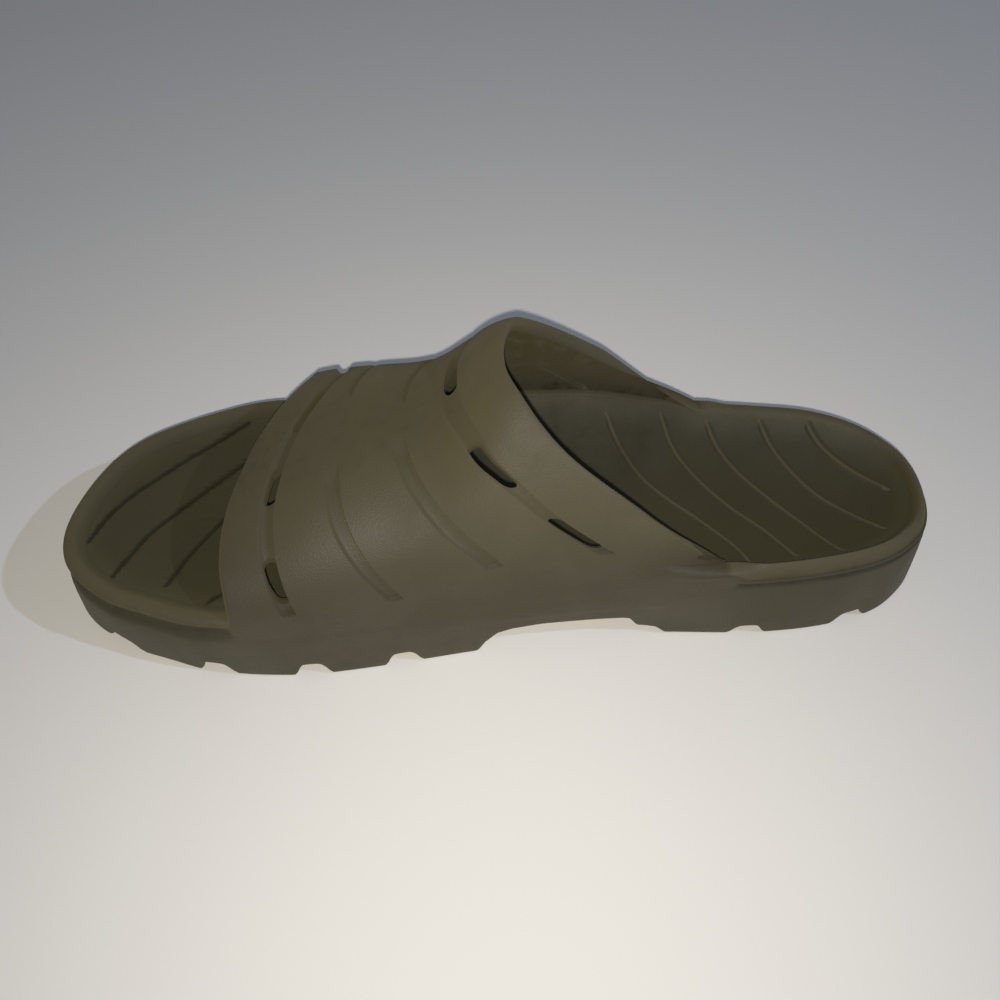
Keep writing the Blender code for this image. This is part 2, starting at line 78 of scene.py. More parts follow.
# Heights along the shoe, shares of rimHeight, footbedDepth, sideTaper, toeSpring and heelBevel
profiles = {
    "station": [0.0, 0.05, 0.12, 0.20, 0.30, 0.50, 0.60, 0.70, 0.85, 0.93, 1.0],
    "rim": [0.896, 0.935, 0.987, 1.0, 1.0, 0.948, 0.920, 0.896, 0.857, 0.862, 0.880],
    "bed": [0.75, 0.88, 1.0, 1.0, 0.95, 0.90, 0.88, 0.80, 0.44, 0.32, 0.24],
    "taper": [0.25, 0.36, 0.56, 0.74, 1.02, 0.82, 0.60, 0.46, 0.74, 0.60, 0.15],
    "spring": [0.0] * 8 + [0.02, 0.25, 1.0],
    "bevel": [1.0, 0.10] + [0.0] * 9,
}

# Height of the strap's crest, share of instepHeight
crest = {
    "station": [0.208, 0.307, 0.386, 0.456, 0.480, 0.505, 0.535, 0.564, 0.589, 0.624,
                0.663, 0.703, 0.743, 0.782, 0.822, 0.861],
    "height": [0.910, 0.960, 0.990, 1.000, 0.995, 0.955, 0.861, 0.777, 0.743, 0.723,
               0.703, 0.672, 0.618, 0.565, 0.510, 0.455],
}

# Stations of the strap's lines at these angles of the arch, 0 at the medial foot
archAngles = [0.0, 22.5, 45.0, 67.5, 90.0, 112.5, 135.0, 157.5, 180.0]
strapLines = {
    "rearEdge": [0.262, 0.350, 0.430, 0.473, 0.495, 0.488, 0.458, 0.378, 0.253],
    "rearChannel": [0.337, 0.436, 0.496, 0.523, 0.540, 0.537, 0.507, 0.444, 0.337],
    "heelwardGroove": [0.475, 0.529, 0.564, 0.590, 0.601, 0.592, 0.566, 0.525, 0.467],
    "toewardGroove": [0.598, 0.635, 0.660, 0.670, 0.671, 0.658, 0.640, 0.616, 0.584],
    "frontChannel": [0.719, 0.732, 0.741, 0.741, 0.726, 0.693, 0.670, 0.679, 0.693],
    "frontEdge": [0.792, 0.796, 0.801, 0.798, 0.781, 0.749, 0.715, 0.722, 0.757],
}

# How finely the skin is divided
grid = {
    "heelColumns": 60,
    "toeColumns": 60,
    "strapRows": 200,
    "strapCrowding": 0.6,
    "innerRows": 110,
    "innerCrowding": 0.55,
    "innerColumns": 36,
    "columnsBetween": 13,
    "bedRings": 26,
    "soleColumns": 190,
    "soleRows": 6,
}


def smoothCurve(stations, values, at):
    # A smooth curve through the rows of a table
    stations = np.asarray(stations, float)
    values = np.asarray(values, float)
    at = np.asarray(at, float)
    gaps = np.diff(stations)
    rises = np.diff(values) / gaps
    slopes = np.empty_like(values)
    slopes[1:-1] = (rises[:-1] * gaps[1:] + rises[1:] * gaps[:-1]) / (gaps[:-1] + gaps[1:])
    slopes[0] = rises[0]
    slopes[-1] = rises[-1]
    row = np.clip(np.searchsorted(stations, at, side="right") - 1, 0, len(stations) - 2)
    u = (at - stations[row]) / gaps[row]
    rise = (3.0 - 2.0 * u) * u * u
    left = (1.0 - rise) * values[row] + u * (1.0 - u) ** 2 * gaps[row] * slopes[row]
    right = rise * values[row + 1] - u * u * (1.0 - u) * gaps[row] * slopes[row + 1]
    return left + right


def ramp(low, high, value):
    u = np.clip((value - low) / (high - low), 0.0, 1.0)
    return u * u * (3.0 - 2.0 * u)


def unit(vectors):
    return vectors / np.maximum(np.linalg.norm(vectors, axis=-1, keepdims=True), 1e-12)


def turnOf(station):
    # Stations spread like the angles of a circle, so that heel and toe come out round
    return np.arccos(1.0 - 2.0 * np.clip(station, 0.0, 1.0))


def stationOf(turn):
    return 0.5 * (1.0 - np.cos(turn))


def stationX(station):
    return shoeLength * (station - 0.5)


def halfWidth(station):
    turns = turnOf(np.array(outline["station"]))
    halves = np.array(outline["half"])
    turns = np.concatenate(([-turns[1]], turns, [2.0 * math.pi - turns[-2]]))
    halves = np.concatenate(([-halves[1]], halves, [-halves[-2]]))
    return ballWidth * smoothCurve(turns, halves, turnOf(station))


def middleLine(station):
    return ballWidth * smoothCurve(turnOf(np.array(outline["station"])), outline["centre"], turnOf(station))


def profile(name, station):
    return smoothCurve(profiles["station"], profiles[name], station)


def rimHeight(station):
    return moulding["rimHeight"] * profile("rim", station)


def bedHeight(station):
    return rimHeight(station) - moulding["footbedDepth"] * profile("bed", station)


def outlinePoint(turn, side):
    # Past the heel or the toe the outline goes on along its other side
    over = (turn < 0.0) | (turn > math.pi)
    inner = np.where(turn < 0.0, -turn, np.where(turn > math.pi, 2.0 * math.pi - turn, turn))
    station = stationOf(inner)
    y = middleLine(station) + np.where(over, -side, side) * halfWidth(station)
    return np.stack([stationX(station), y], axis=-1)


def ringPoints(station, side, inset, height):
    # Points at an inset from the outline; side is +1 medial and -1 lateral
    turn = turnOf(station)
    step = 0.012
    tangent = unit(outlinePoint(turn + step, side) - outlinePoint(turn - step, side))
    inward = np.stack([side * tangent[:, 1], -side * tangent[:, 0]], axis=-1)
    plan = outlinePoint(turn, side) + inward * (np.zeros(len(turn)) + inset)[:, None]
    return np.column_stack([plan, np.zeros(len(turn)) + height])


# Mesh building: rows of points that are bridged with faces, and masks for the finish, for dirt and for painted
# shade
# The masks are the footbed's tone, dirt with painted shade, painted shade with chalk on the strap's inner
# face, and painted shade on the walls
maskNames = ("bed", "grime", "inside", "side")


def newSkin():
    return {name: [] for name in ("points", "faces", *maskNames)}


def addRow(skin, points, **masks):
    start = len(skin["points"])
    skin["points"].extend(map(tuple, points))
    for name in maskNames:
        skin[name].extend(np.zeros(len(points)) + masks.get(name, 0.0))
    return list(range(start, start + len(points)))


def addFace(skin, corners):
    kept = []
    for corner in corners:
        if corner not in kept:
            kept.append(corner)
    if len(kept) > 2:
        skin["faces"].append(kept)


def bridge(skin, first, second, closed=False):
    count = len(first)
    for i in range(count if closed else count - 1):
        j = (i + 1) % count
        addFace(skin, (first[i], first[j], second[j], second[i]))


def layRow(skin, previous, points, **masks):
    # Adds a closed row and bridges it with the one before
    current = addRow(skin, points, **masks)
    bridge(skin, previous, current, True)
    return current


def zipRows(skin, first, firstKeys, second, secondKeys):
    # Triangles between two rows of different counts, matched by their rising keys
    i = j = 0
    while i < len(first) - 1 or j < len(second) - 1:
        ahead = i < len(first) - 1 and (j == len(second) - 1 or firstKeys[i + 1] <= secondKeys[j + 1])
        if ahead:
            addFace(skin, (first[i], first[i + 1], second[j]))
            i += 1
        else:
            addFace(skin, (first[i], second[j + 1], second[j]))
            j += 1


def addObject(data, name):
    item = bpy.data.objects.new(name, data)
    bpy.context.scene.collection.objects.link(item)
    return item


def addSkin(skin, name):
    mesh = bpy.data.meshes.new(name)
    mesh.from_pydata(skin["points"], [], skin["faces"])
    builder = bmesh.new()
    builder.from_mesh(mesh)
    bmesh.ops.remove_doubles(builder, verts=builder.verts, dist=0.000002)
    bmesh.ops.dissolve_degenerate(builder, edges=builder.edges, dist=0.000002)
    bmesh.ops.recalc_face_normals(builder, faces=builder.faces)
    builder.to_mesh(mesh)
    builder.free()
    return addObject(mesh, name)


# Sole: the tread's notches run straight across, so its height depends on x alone
tread = {
    "notchStation": [0.097, 0.218, 0.613, 0.716, 0.825, 0.934],
    "notchDepth": [0.0050, 0.0050, 0.0068, 0.0068, 0.0072, 0.0060],
    "steepSide": [-1, -1, 1, 1, 1, 1],
    "notchWidth": 0.0118,
    "steepRun": 0.0031,
    "slopeRun": 0.0044,
    "shankRise": 0.0135,
    "shankStation": [0.312, 0.322, 0.345, 0.354, 0.362, 0.400, 0.456, 0.490, 0.507, 0.529],
    "shankShare": [0.0, 0.22, 0.35, 0.83, 0.91, 0.96, 1.0, 0.92, 0.77, 0.0],
    "edgeRound": 0.0016,
    "cornerBlur": 0.0006,
    "wallMargin": 0.0022,
    "shankEnds": [(0.308, 0.366), (0.482, 0.533)],
    "leastGap": 0.0006,
    "notchColumns": 16,
    "shankColumns": 44,
    "edgeRows": [(1.0, 0.0), (0.62, 0.07), (0.29, 0.29), (0.07, 0.62), (0.0, 1.0)],
}


def notchHeight(x):
    height = np.zeros_like(x)
    half = 0.5 * tread["notchWidth"]
    for station, depth, steep in zip(tread["notchStation"], tread["notchDepth"], tread["steepSide"]):
        reach = (x - stationX(station)) * steep
        fromSteep = np.clip((half - reach) / tread["steepRun"], 0.0, 1.0)
        fromSlope = np.clip((half + reach) / tread["slopeRun"], 0.0, 1.0)
        arch = 1.0 - (1.0 - np.minimum(fromSteep, fromSlope)) ** 2
        height = np.maximum(height, depth * arch)
    return height


def treadHeight(x):
    # Height of the underside: toe spring, heel bevel, notches and the raised shank
    total = 0.0
    for shift in (-1.0, 0.0, 1.0):
        place = x + shift * tread["cornerBlur"]
        station = place / shoeLength + 0.5
        low = moulding["toeSpring"] * np.maximum(profile("spring", station), 0.0)
        low = low + moulding["heelBevel"] * np.maximum(profile("bevel", station), 0.0)
        shank = np.interp(station, tread["shankStation"], tread["shankShare"])
        cut = np.maximum(notchHeight(place), tread["shankRise"] * shank)
        total = total + (low + cut) / 3.0
    return total


def soleStations():
    # Even columns, and closer ones at the walls of each notch and of the shank
    stations = [stationOf(np.linspace(0.0, math.pi, grid["soleColumns"]))]
    half = 0.5 * tread["notchWidth"] / shoeLength
    margin = tread["wallMargin"] / shoeLength
    for station, steep in zip(tread["notchStation"], tread["steepSide"]):
        for side in (-1, 1):
            run = tread["steepRun"] if side == steep else tread["slopeRun"]
            outer = station + side * (half + margin)
            inner = station + side * (half - run / shoeLength)
            stations.append(np.linspace(outer, inner, tread["notchColumns"]))
    for start, end in tread["shankEnds"]:
        stations.append(np.linspace(start, end, tread["shankColumns"]))
    joined = np.unique(np.clip(np.concatenate(stations), 0.0, 1.0))
    kept = [joined[0]]
    for value in joined[1:-1]:
        if value - kept[-1] > tread["leastGap"]:
            kept.append(value)
    kept.append(1.0)
    return np.array(kept)


# Side wall, lip and rim. The rows of each section give an inset from the outline and a
# drop from the rim's height, upwards over the lip and then over the rim to its inner edge
wall = {
    "seamShare": 0.52,
    "shoulderDrop": 0.0106,
    "bulge": 1.4,
    "topInset": 0.0002,
    "lowest": 0.004,
    "lowRows": (0.2, 0.4, 0.6, 0.8, 0.93, 1.0),
    "highRows": (0.10, 0.40, 0.75),
    "toeStation": 0.6,
    # Dirt and painted shade at the strap's rear foot
    "footDirtAndShade": 0.45,
    "footDirtAndShadeReach": 0.012,
    "lipFade": (0.022, 0.009),
    "rimFade": (0.050, 0.006),
    "toeFade": (-0.002, 0.010),
}
# In each section the third list darkens: dirt and painted shade in the groove under the lip
lipSections = {
    "heel": {
        "inset": [0.0001, 0.00015, 0.0004, 0.0011, 0.00145, 0.0015, 0.0012, 0.0004, 0.00003,
                  0.00003, 0.0002, 0.0005],
        "drop": [0.0094, 0.0086, 0.0083, 0.008, 0.0075, 0.0069, 0.0065, 0.0063, 0.006,
                 0.0056, 0.00525, 0.0051],
        "grime": [0.0, 0.15, 0.5, 0.9, 1.0, 1.0, 0.9, 0.6, 0.1, 0.0, 0.1, 0.45],
    },
    "toe": {
        "inset": [0.0002, 0.0003, 0.0006, 0.0011, 0.0016, 0.0019, 0.00185, 0.0015, 0.001,
                  0.00065, 0.00045, 0.00035],
        "drop": [0.0104, 0.0097, 0.0089, 0.008, 0.0072, 0.0062, 0.0052, 0.0044, 0.0037,
                 0.0032, 0.0029, 0.00275],
        "grime": [0.0, 0.1, 0.3, 0.5, 0.6, 0.7, 0.75, 0.75, 0.7, 0.65, 0.6, 0.55],
    },
    "strap": {
        "inset": [0.0003, 0.0003, 0.00025, 0.0002, 0.0002, 0.00015, 0.0001, 0.0001, 0.0001,
                  0.00005, 0.00005, 0.0],
        "drop": [0.0096, 0.009, 0.0084, 0.0077, 0.007, 0.0063, 0.0056, 0.0049, 0.0042,
                 0.0036, 0.0031, 0.0025],
        "grime": [0.0] * 12,
    },
}
# In each section the third list darkens: dirt and painted shade beside the lip, and painted shade over the
# lateral heel rim
rimSections = {
    "heel": {
        "inset": [0.00085, 0.00095, 0.00115, 0.0014, 0.00175, 0.00215, 0.0026, 0.0031, 0.0037],
        "drop": [0.005, 0.0043, 0.0036, 0.0029, 0.0021, 0.00135, 0.00065, 0.00012, 0.0004],
        "grime": [0.6, 0.5, 0.38, 0.24, 0.12, 0.0, 0.0, 0.0, 0.0],
    },
    "heelLateral": {
        "inset": [0.00085, 0.0009, 0.001, 0.0012, 0.0015, 0.002, 0.0028, 0.0038, 0.005],
        "drop": [0.005, 0.004, 0.003, 0.002, 0.0011, 0.0004, 0.00005, 0.0003, 0.0011],
        "grime": [0.6, 0.5, 0.45, 0.42, 0.4, 0.4, 0.4, 0.4, 0.4],
    },
    "toe": {
        "inset": [0.0003, 0.00005, 0.0, 0.0002, 0.0007, 0.0015, 0.0026, 0.0041, 0.0056],
        "drop": [0.0026, 0.0021, 0.0015, 0.0009, 0.00045, 0.00015, 0.0, 0.0001, 0.0007],
        "grime": [0.55, 0.5, 0.45, 0.38, 0.2, 0.05, 0.0, 0.0, 0.0],
    },
    "strap": {
        "inset": [0.0, 0.00035, 0.0009, 0.0016, 0.0024, 0.0033, 0.0042, 0.005, 0.0056],
        "drop": [0.00175, 0.0011, 0.0006, 0.0003, 0.0001, 0.0, 0.0001, 0.00035, 0.0007],
        "grime": [0.0] * 9,
    },
}
rimShares = [0.0, 0.12, 0.25, 0.38, 0.5, 0.62, 0.75, 0.88, 1.0]

# From the inner edge the bed's edge lies further inward and lower by these amounts
bedEdge = {
    "heel": {"width": 0.0016, "drop": 0.0021},
    "toe": {"width": 0.0022, "drop": 0.0009},
    "strap": {"width": 0.0020, "drop": 0.0012},
}
bed = {
    "toeStart": 0.66,
    "toeEnd": 0.80,
    "shoulderRows": 6,
    "ringCrowding": 1.15,
    "spineStart": 0.14,
    "spineSpan": 0.72,
    "rimTone": 0.35,
    "edgeTone": 0.7,
    "toeTone": 0.15,
    # Painted shade in the crease and on the footbed under the strap
    "creaseShade": 0.8,
    "dirtAndShade": 0.7,
    "bowl": [(0.74, 2.2), (0.26, 7)],
    "toeBowlPower": 1.9,
}


def strapShare(station, rear, front, fade):
    # 1 beside the strap and 0 at the heel and at the toe
    share = ramp(rear - fade[0], rear - fade[1], station)
    return share * (1.0 - ramp(front + wall["toeFade"][0], front + wall["toeFade"][1], station))


def blendSections(free, merged, toe):
    # free: values at heel and toe and beside the strap
    return (free["heel"] * (1.0 - toe) + free["toe"] * toe) * (1.0 - merged) + free["strap"] * merged


def rimValues(share, station, side, merged):
    # Inset, drop and darkening of one row of the rim's section at each point of a ring; the darkening is dirt
    # and painted shade
    lateral = 0.5 - 0.5 * side * ramp(0.0, 0.08, station)
    values = []
    for name in ("inset", "drop", "grime"):
        free = {section: smoothCurve(rimShares, rimSections[section][name], share) for section in rimSections}
        free["heel"] = free["heel"] * (1.0 - lateral) + free["heelLateral"] * lateral
        values.append(blendSections(free, merged, np.where(station > wall["toeStation"], 1.0, 0.0)))
    return values


def strapLine(name, angle):
    return smoothCurve(archAngles, strapLines[name], angle)


# Strap: an arch across the shoe at each station
strap = {
    "archWidthPower": 0.92,
    "archHeightPower": 0.82,
    "footRise": 0.00175,
    "footFlare": 0.0025,
    "rearInnerSet": 0.0036,
    "rearCorner": 0.0009,
    "frontCorner": 0.0012,
    "rimAngle": 3.3,
    "sweepAngle": 22.0,
    "sweepReach": 0.014,
    "sweepPull": 0.016,
    "ledgeStart": 1.2,
    "ledgeAngle": 7.0,
    # The next five set painted shade: on the rear edge's round, in the channels, in the inner crease and on
    # the crown
    "edgeShade": 0.3,
    "channelShade": 0.12,
    "creaseShadeAngle": 10.0,
    "creaseShade": 1.6,
    "crownShade": 0.45,
    "crownMiddle": 88.0,
    "crownSpread": 24.0,
    "crownStations": (0.50, 0.62),
    # Heights over which the painted shade low on the strap fades out
    "lowShadeHeights": (0.030, 0.078),
    "footDirtAndShadeAngle": 4.0,
    "flareAngle": 3.0,
    "setBackFade": (2.0, 16.0),
    "ledgeFades": (0.30, 0.14),
    "ledgeFall": 0.55,
    "leastAngle": 0.12,
}

# Channels sunk into the strap, between these arch angles, with a sharp rear wall
channels = {
    "width": 0.0054,
    "fade": 0.7,
    "crestFade": 9.0,
    "share": [0.0, 0.02, 0.045, 0.07, 0.10, 0.30, 0.55, 0.76, 0.84, 0.90, 0.96, 1.0],
    "sunk": [0.0, 0.12, 0.50, 0.88, 1.0, 1.0, 1.0, 0.98, 0.80, 0.45, 0.12, 0.0],
    "rearChannel": {"depth": 0.0018, "spans": [(8.5, 171.5)]},
    "heelwardGroove": {"depth": 0.0015, "spans": [(8.5, 84.0), (96.0, 171.5)]},
    "toewardGroove": {"depth": 0.0015, "spans": [(4.0, 76.0), (104.0, 176.0)]},
    "frontChannel": {"depth": 0.0018, "spans": [(3.6, 176.4)]},
}
channelNames = ["rearChannel", "heelwardGroove", "toewardGroove", "frontChannel"]


def strapSurface(station, angle):
    turn = np.radians(angle)
    across = np.cos(turn)
    half = halfWidth(station)
    middle = middleLine(station)
    offset = moulding["crestOffset"]
    reach = np.where(across >= 0.0, middle + half - offset, offset - middle + half)
    base = rimHeight(station) - strap["footRise"]
    top = moulding["instepHeight"] * smoothCurve(crest["station"], crest["height"], station)
    y = offset + reach * np.sign(across) * np.abs(across) ** strap["archWidthPower"]
    z = base + (top - base) * np.abs(np.sin(turn)) ** strap["archHeightPower"]
    return np.stack([stationX(station) + 0.0 * y, y, z], axis=-1)


def strapNormal(station, angle):
    step = 0.002
    turn = np.clip(angle, 1.0, 179.0)
    along = strapSurface(station + step, turn) - strapSurface(station - step, turn)
    across = strapSurface(station, turn + 0.4) - strapSurface(station, turn - 0.4)
    return unit(np.cross(across, along))


def footFlare(angle):
    reach = strap["flareAngle"]
    return strap["footFlare"] / shoeLength * (np.exp(-angle / reach) + np.exp((angle - 180.0) / reach))


def channelWindow(spans, angle):
    # 1 where the channel has its full depth; the ends at the crest fade out slowly
    window = np.zeros_like(angle)
    for start, end in spans:
        startFade = channels["crestFade" if start > 90.0 else "fade"]
        endFade = channels["crestFade" if end < 90.0 else "fade"]
        inside = ramp(start, start + startFade, angle) * (1.0 - ramp(end - endFade, end, angle))
        window = np.maximum(window, inside)
    return window


def rearStation(angle):
    return strapLine("rearEdge", angle) - footFlare(angle)


def frontStation(angle):
    return strapLine("frontEdge", angle) + 0.3 * footFlare(angle)


def strapColumns(angle):
    # Stations and depths of the columns from the rear edge to the front edge
    flat = np.zeros_like(angle)
    shares = np.linspace(0.0, 1.0, grid["columnsBetween"] + 1)[1:]
    previous = rearStation(angle)
    columns = [(previous, flat)]
    for name in channelNames:
        line = strapLine(name, angle)
        for share in shares[:-1]:
            columns.append((previous + (line - previous) * share, flat))
        channel = channels[name]
        depth = channel["depth"] * channelWindow(channel["spans"], angle)
        for share, sunk in zip(channels["share"], channels["sunk"]):
            columns.append((line + share * channels["width"] / shoeLength, depth * sunk))
        previous = line + channels["width"] / shoeLength
    front = frontStation(angle)
    for share in shares:
        columns.append((previous + (front - previous) * share, flat))
    stations, depths = zip(*columns)
    return np.stack(stations), np.stack(depths)


def rimPoint(station, side, share):
    # A point of the rim's section at the strap's foot, from the lip at 0 to its inner edge at 1
    inset = smoothCurve(rimShares, rimSections["strap"]["inset"], share)
    drop = smoothCurve(rimShares, rimSections["strap"]["drop"], share)
    count = np.zeros(np.shape(share))
    return ringPoints(station + count, side + count, inset, rimHeight(station) - drop)


def rearSweep(angle):
    # How far the strap's rear edge is drawn in at its feet, where it runs out of the rim
    plain = strapSurface(rearStation(angle), angle)
    target = plain.copy()
    start = strap["rimAngle"]
    end = strap["sweepAngle"]
    foot = rearStation(np.array(0.0))
    for side in (1.0, -1.0):
        own = angle if side > 0.0 else 180.0 - angle
        low = own < start
        if low.any():
            target[low] = rimPoint(foot, side, own[low] / start)
        climb = (own >= start) & (own < end)
        if climb.any():
            u = ((own[climb] - start) / (end - start))[:, None]
            edge = [end, end + 0.5]
            edge = np.array(edge) if side > 0.0 else 180.0 - np.array(edge)
            last = strapSurface(rearStation(edge), edge)
            slope = unit(last[1] - last[0]) * strap["sweepPull"]
            first = rimPoint(foot, side, np.array([1.0]))[0]
            ahead = rimPoint(foot + 0.01, side, np.array([1.0]))[0]
            pull = unit(ahead - first) * strap["sweepPull"]
            blend = u * u * (3.0 - 2.0 * u)
            curve = first + (last[0] - first) * blend
            curve = curve + u * (1.0 - u) ** 2 * pull - u * u * (1.0 - u) * slope
            target[climb] = curve
    return target - plain


def strapOuter(angle):
    # Outer face of the strap as columns of points, with its channels sunk in
    stations, depths = strapColumns(angle)
    points = strapSurface(stations, angle[None, :])
    points = points - strapNormal(stations, angle[None, :]) * depths[..., None]
    away = (stations - stations[:1]) * shoeLength / strap["sweepReach"]
    points = points + rearSweep(angle)[None, :, :] * np.exp(-away ** 2)[..., None]
    return points


def crowdedAngles(rows, crowding):
    # Angles of the arch, closer together near its feet
    turn = 2.0 * math.pi * np.linspace(0.0, 1.0, rows + 1)
    return 90.0 / math.pi * (turn - crowding * np.sin(turn))


def strapRowAngles():
    # Rows closer together near the feet, and at the ends of the channels
    angles = [crowdedAngles(grid["strapRows"], grid["strapCrowding"])]
    fade = channels["fade"] * np.linspace(-0.1, 1.0, 5)
    for name in channelNames:
        for start, end in channels[name]["spans"]:
            if start < 60.0:
                angles.append(start + fade)
            if end > 120.0:
                angles.append(end - fade)
    joined = np.unique(np.concatenate(angles))
    kept = [0.0]
    for value in joined[1:-1]:
        if min(value - kept[-1], 180.0 - value) > strap["leastAngle"]:
            kept.append(value)
    kept.append(180.0)
    return np.array(kept)


def strapInner(angle):
    # Inner face of the strap; between its edges it stands on the ledge beside the footbed
    setBack = ramp(*strap["setBackFade"], np.minimum(angle, 180.0 - angle))
    setBack = strap["rearInnerSet"] / shoeLength * setBack
    rear = rearStation(angle) + setBack
    front = frontStation(angle)
    share = np.linspace(0.0, 1.0, grid["innerColumns"])[:, None]
    stations = rear + (front - rear) * share
    rise = ramp(0.0, strap["ledgeFades"][0], share) * ramp(0.0, strap["ledgeFades"][1], 1.0 - share)
    low = strap["ledgeStart"]
    start = low + (strap["ledgeAngle"] - low) * rise * (1.0 - strap["ledgeFall"] * share)
    turn = start + angle[None, :] * (1.0 - start / 90.0)
    points = strapSurface(stations, turn) - strapNormal(stations, turn) * moulding["strapWall"]
    return stations, points


def edgeStrip(outerEdge, innerEdge, angle, station, sign, corner, count):
    # Rounded edge of the strap: a small corner outside, then a wide round to the inner face.
    # sign is -1 at the rear edge and +1 at the front edge.
    normal = strapNormal(station, angle)
    step = 0.002
    turn = np.clip(angle, 1.0, 179.0)
    along = strapSurface(station + sign * step, turn) - strapSurface(station, turn)
    along = unit(along - normal * (along * normal).sum(-1, keepdims=True))
    rows = []
    cornerRows = max(2, count // 3)
    for k in range(1, cornerRows + 1):
        bend = 0.5 * math.pi * k / cornerRows
        rows.append(outerEdge - normal * corner * (1.0 - math.cos(bend)) + along * corner * math.sin(bend))
    tip = rows[-1]
    gap = tip - innerEdge
    ahead = (gap * along).sum(-1, keepdims=True)
    depth = (gap * normal).sum(-1, keepdims=True)
    rest = gap - ahead * along - depth * normal
    left = count - cornerRows
    for k in range(1, left + 1):
        u = k / (left + 1)
        bend = 0.5 * math.pi * u
        shape = along * ahead * (math.cos(bend) - 1.0) - normal * depth * math.sin(bend)
        rows.append(tip + shape - rest * u)
    return rows


def sideStations(foot):
    heelEnd, toeFirst = turnOf(foot[0]), turnOf(foot[-1])
    heelTurn = heelEnd * np.linspace(0.0, 1.0, grid["heelColumns"] + 1)[:-1]
    toeTurn = toeFirst + (math.pi - toeFirst) * np.linspace(0.0, 1.0, grid["toeColumns"] + 1)[1:]
    return np.concatenate((stationOf(heelTurn), foot, stationOf(toeTurn)))


def ringOf(stations):
    # A ring along both sides, and where the strap starts and ends on each side
    medial = sideStations(stations[:, 0])
    lateral = sideStations(stations[:, -1])
    last = len(medial) - 1
    station = np.concatenate((medial, lateral[-2:0:-1]))
    side = np.concatenate((np.ones(last + 1), -np.ones(last - 1)))
    rear, front = (np.where(side > 0.0, stations[k, 0], stations[k, -1]) for k in (0, -1))
    return station, side, last, rear, front


def feetOf(count, whole):
    # Places of the strap's two feet in a ring
    medial = list(range(grid["heelColumns"], grid["heelColumns"] + count))
    return medial, [(whole - k) % whole for k in medial]


def wallInset(height, lowest, highest, fullTaper):
    share = np.clip((height - lowest) / (highest - lowest), 0.0, 1.0)
    return fullTaper * (1.0 - share) ** wall["bulge"] + wall["topInset"] * share


def buildSole(skin):
    # Underside and the lower half of the side wall
    sole = soleStations()
    station = np.concatenate((sole, sole[-2:0:-1]))
    side = np.concatenate((np.ones(len(sole)), -np.ones(len(sole) - 2)))
    taper = moulding["sideTaper"] * profile("taper", station)
    seam = rimHeight(station) * wall["seamShare"]
    edgeX = ringPoints(station, side, taper, 0.0)[:, 0]
    low = treadHeight(edgeX)
    base = low - notchHeight(edgeX)
    corner = tread["edgeRound"]

    shoulder = rimHeight(station) - wall["shoulderDrop"]
    floorLow = np.minimum(base, wall["lowest"])
    rows = []
    for push, lift in tread["edgeRows"]:
        height = low + corner * lift
        rows.append((wallInset(height, floorLow, shoulder, taper) + corner * push, height))
    for share in wall["lowRows"]:
        height = low + corner + (seam - low - corner) * share
        rows.append((wallInset(height, floorLow, shoulder, taper), height))
    # All of the wall's rows are marked for the painted shade that darkens the side wall
    seamRow = lowRow = addRow(skin, ringPoints(station, side, *rows[0]), side=1.0)
    for inset, height in rows[1:]:
        seamRow = layRow(skin, seamRow, ringPoints(station, side, inset, height), side=1.0)
    medialEdge = lowRow[:len(sole)]
    lateralEdge = lowRow[:1] + lowRow[:len(sole) - 2:-1]
    medialPoints, lateralPoints = (
        np.array([skin["points"][k] for k in row]) for row in (medialEdge, lateralEdge))
    previous = medialEdge
    for step in range(1, grid["soleRows"]):
        points = medialPoints + (lateralPoints - medialPoints) * step / grid["soleRows"]
        points[:, 2] = treadHeight(points[:, 0])
        current = medialEdge[:1] + addRow(skin, points[1:-1], side=1.0) + medialEdge[-1:]
        bridge(skin, previous, current)
        previous = current
    bridge(skin, previous, lateralEdge)
    return seamRow, np.where(side > 0.0, station, 2.0 - station)


def closeEdge(skin, outerEdge, outerKeys, strips, stripKeys, ends, lastEdge, tone):
    # Rounded rows from the outer face's edge to the inner face's, with painted shade growing towards the
    # inside
    previous = None
    for k, strip in enumerate(strips):
        shade = tone * (k + 1) / len(strips)
        middle = addRow(skin, strip[1:-1], inside=shade, grime=strap["edgeShade"] * shade)
        current = [ends[k][0]] + middle + [ends[k][1]]
        if previous is None:
            zipRows(skin, outerEdge, outerKeys, current, stripKeys)
        else:
            bridge(skin, previous, current)
        previous = current
    bridge(skin, previous, lastEdge)


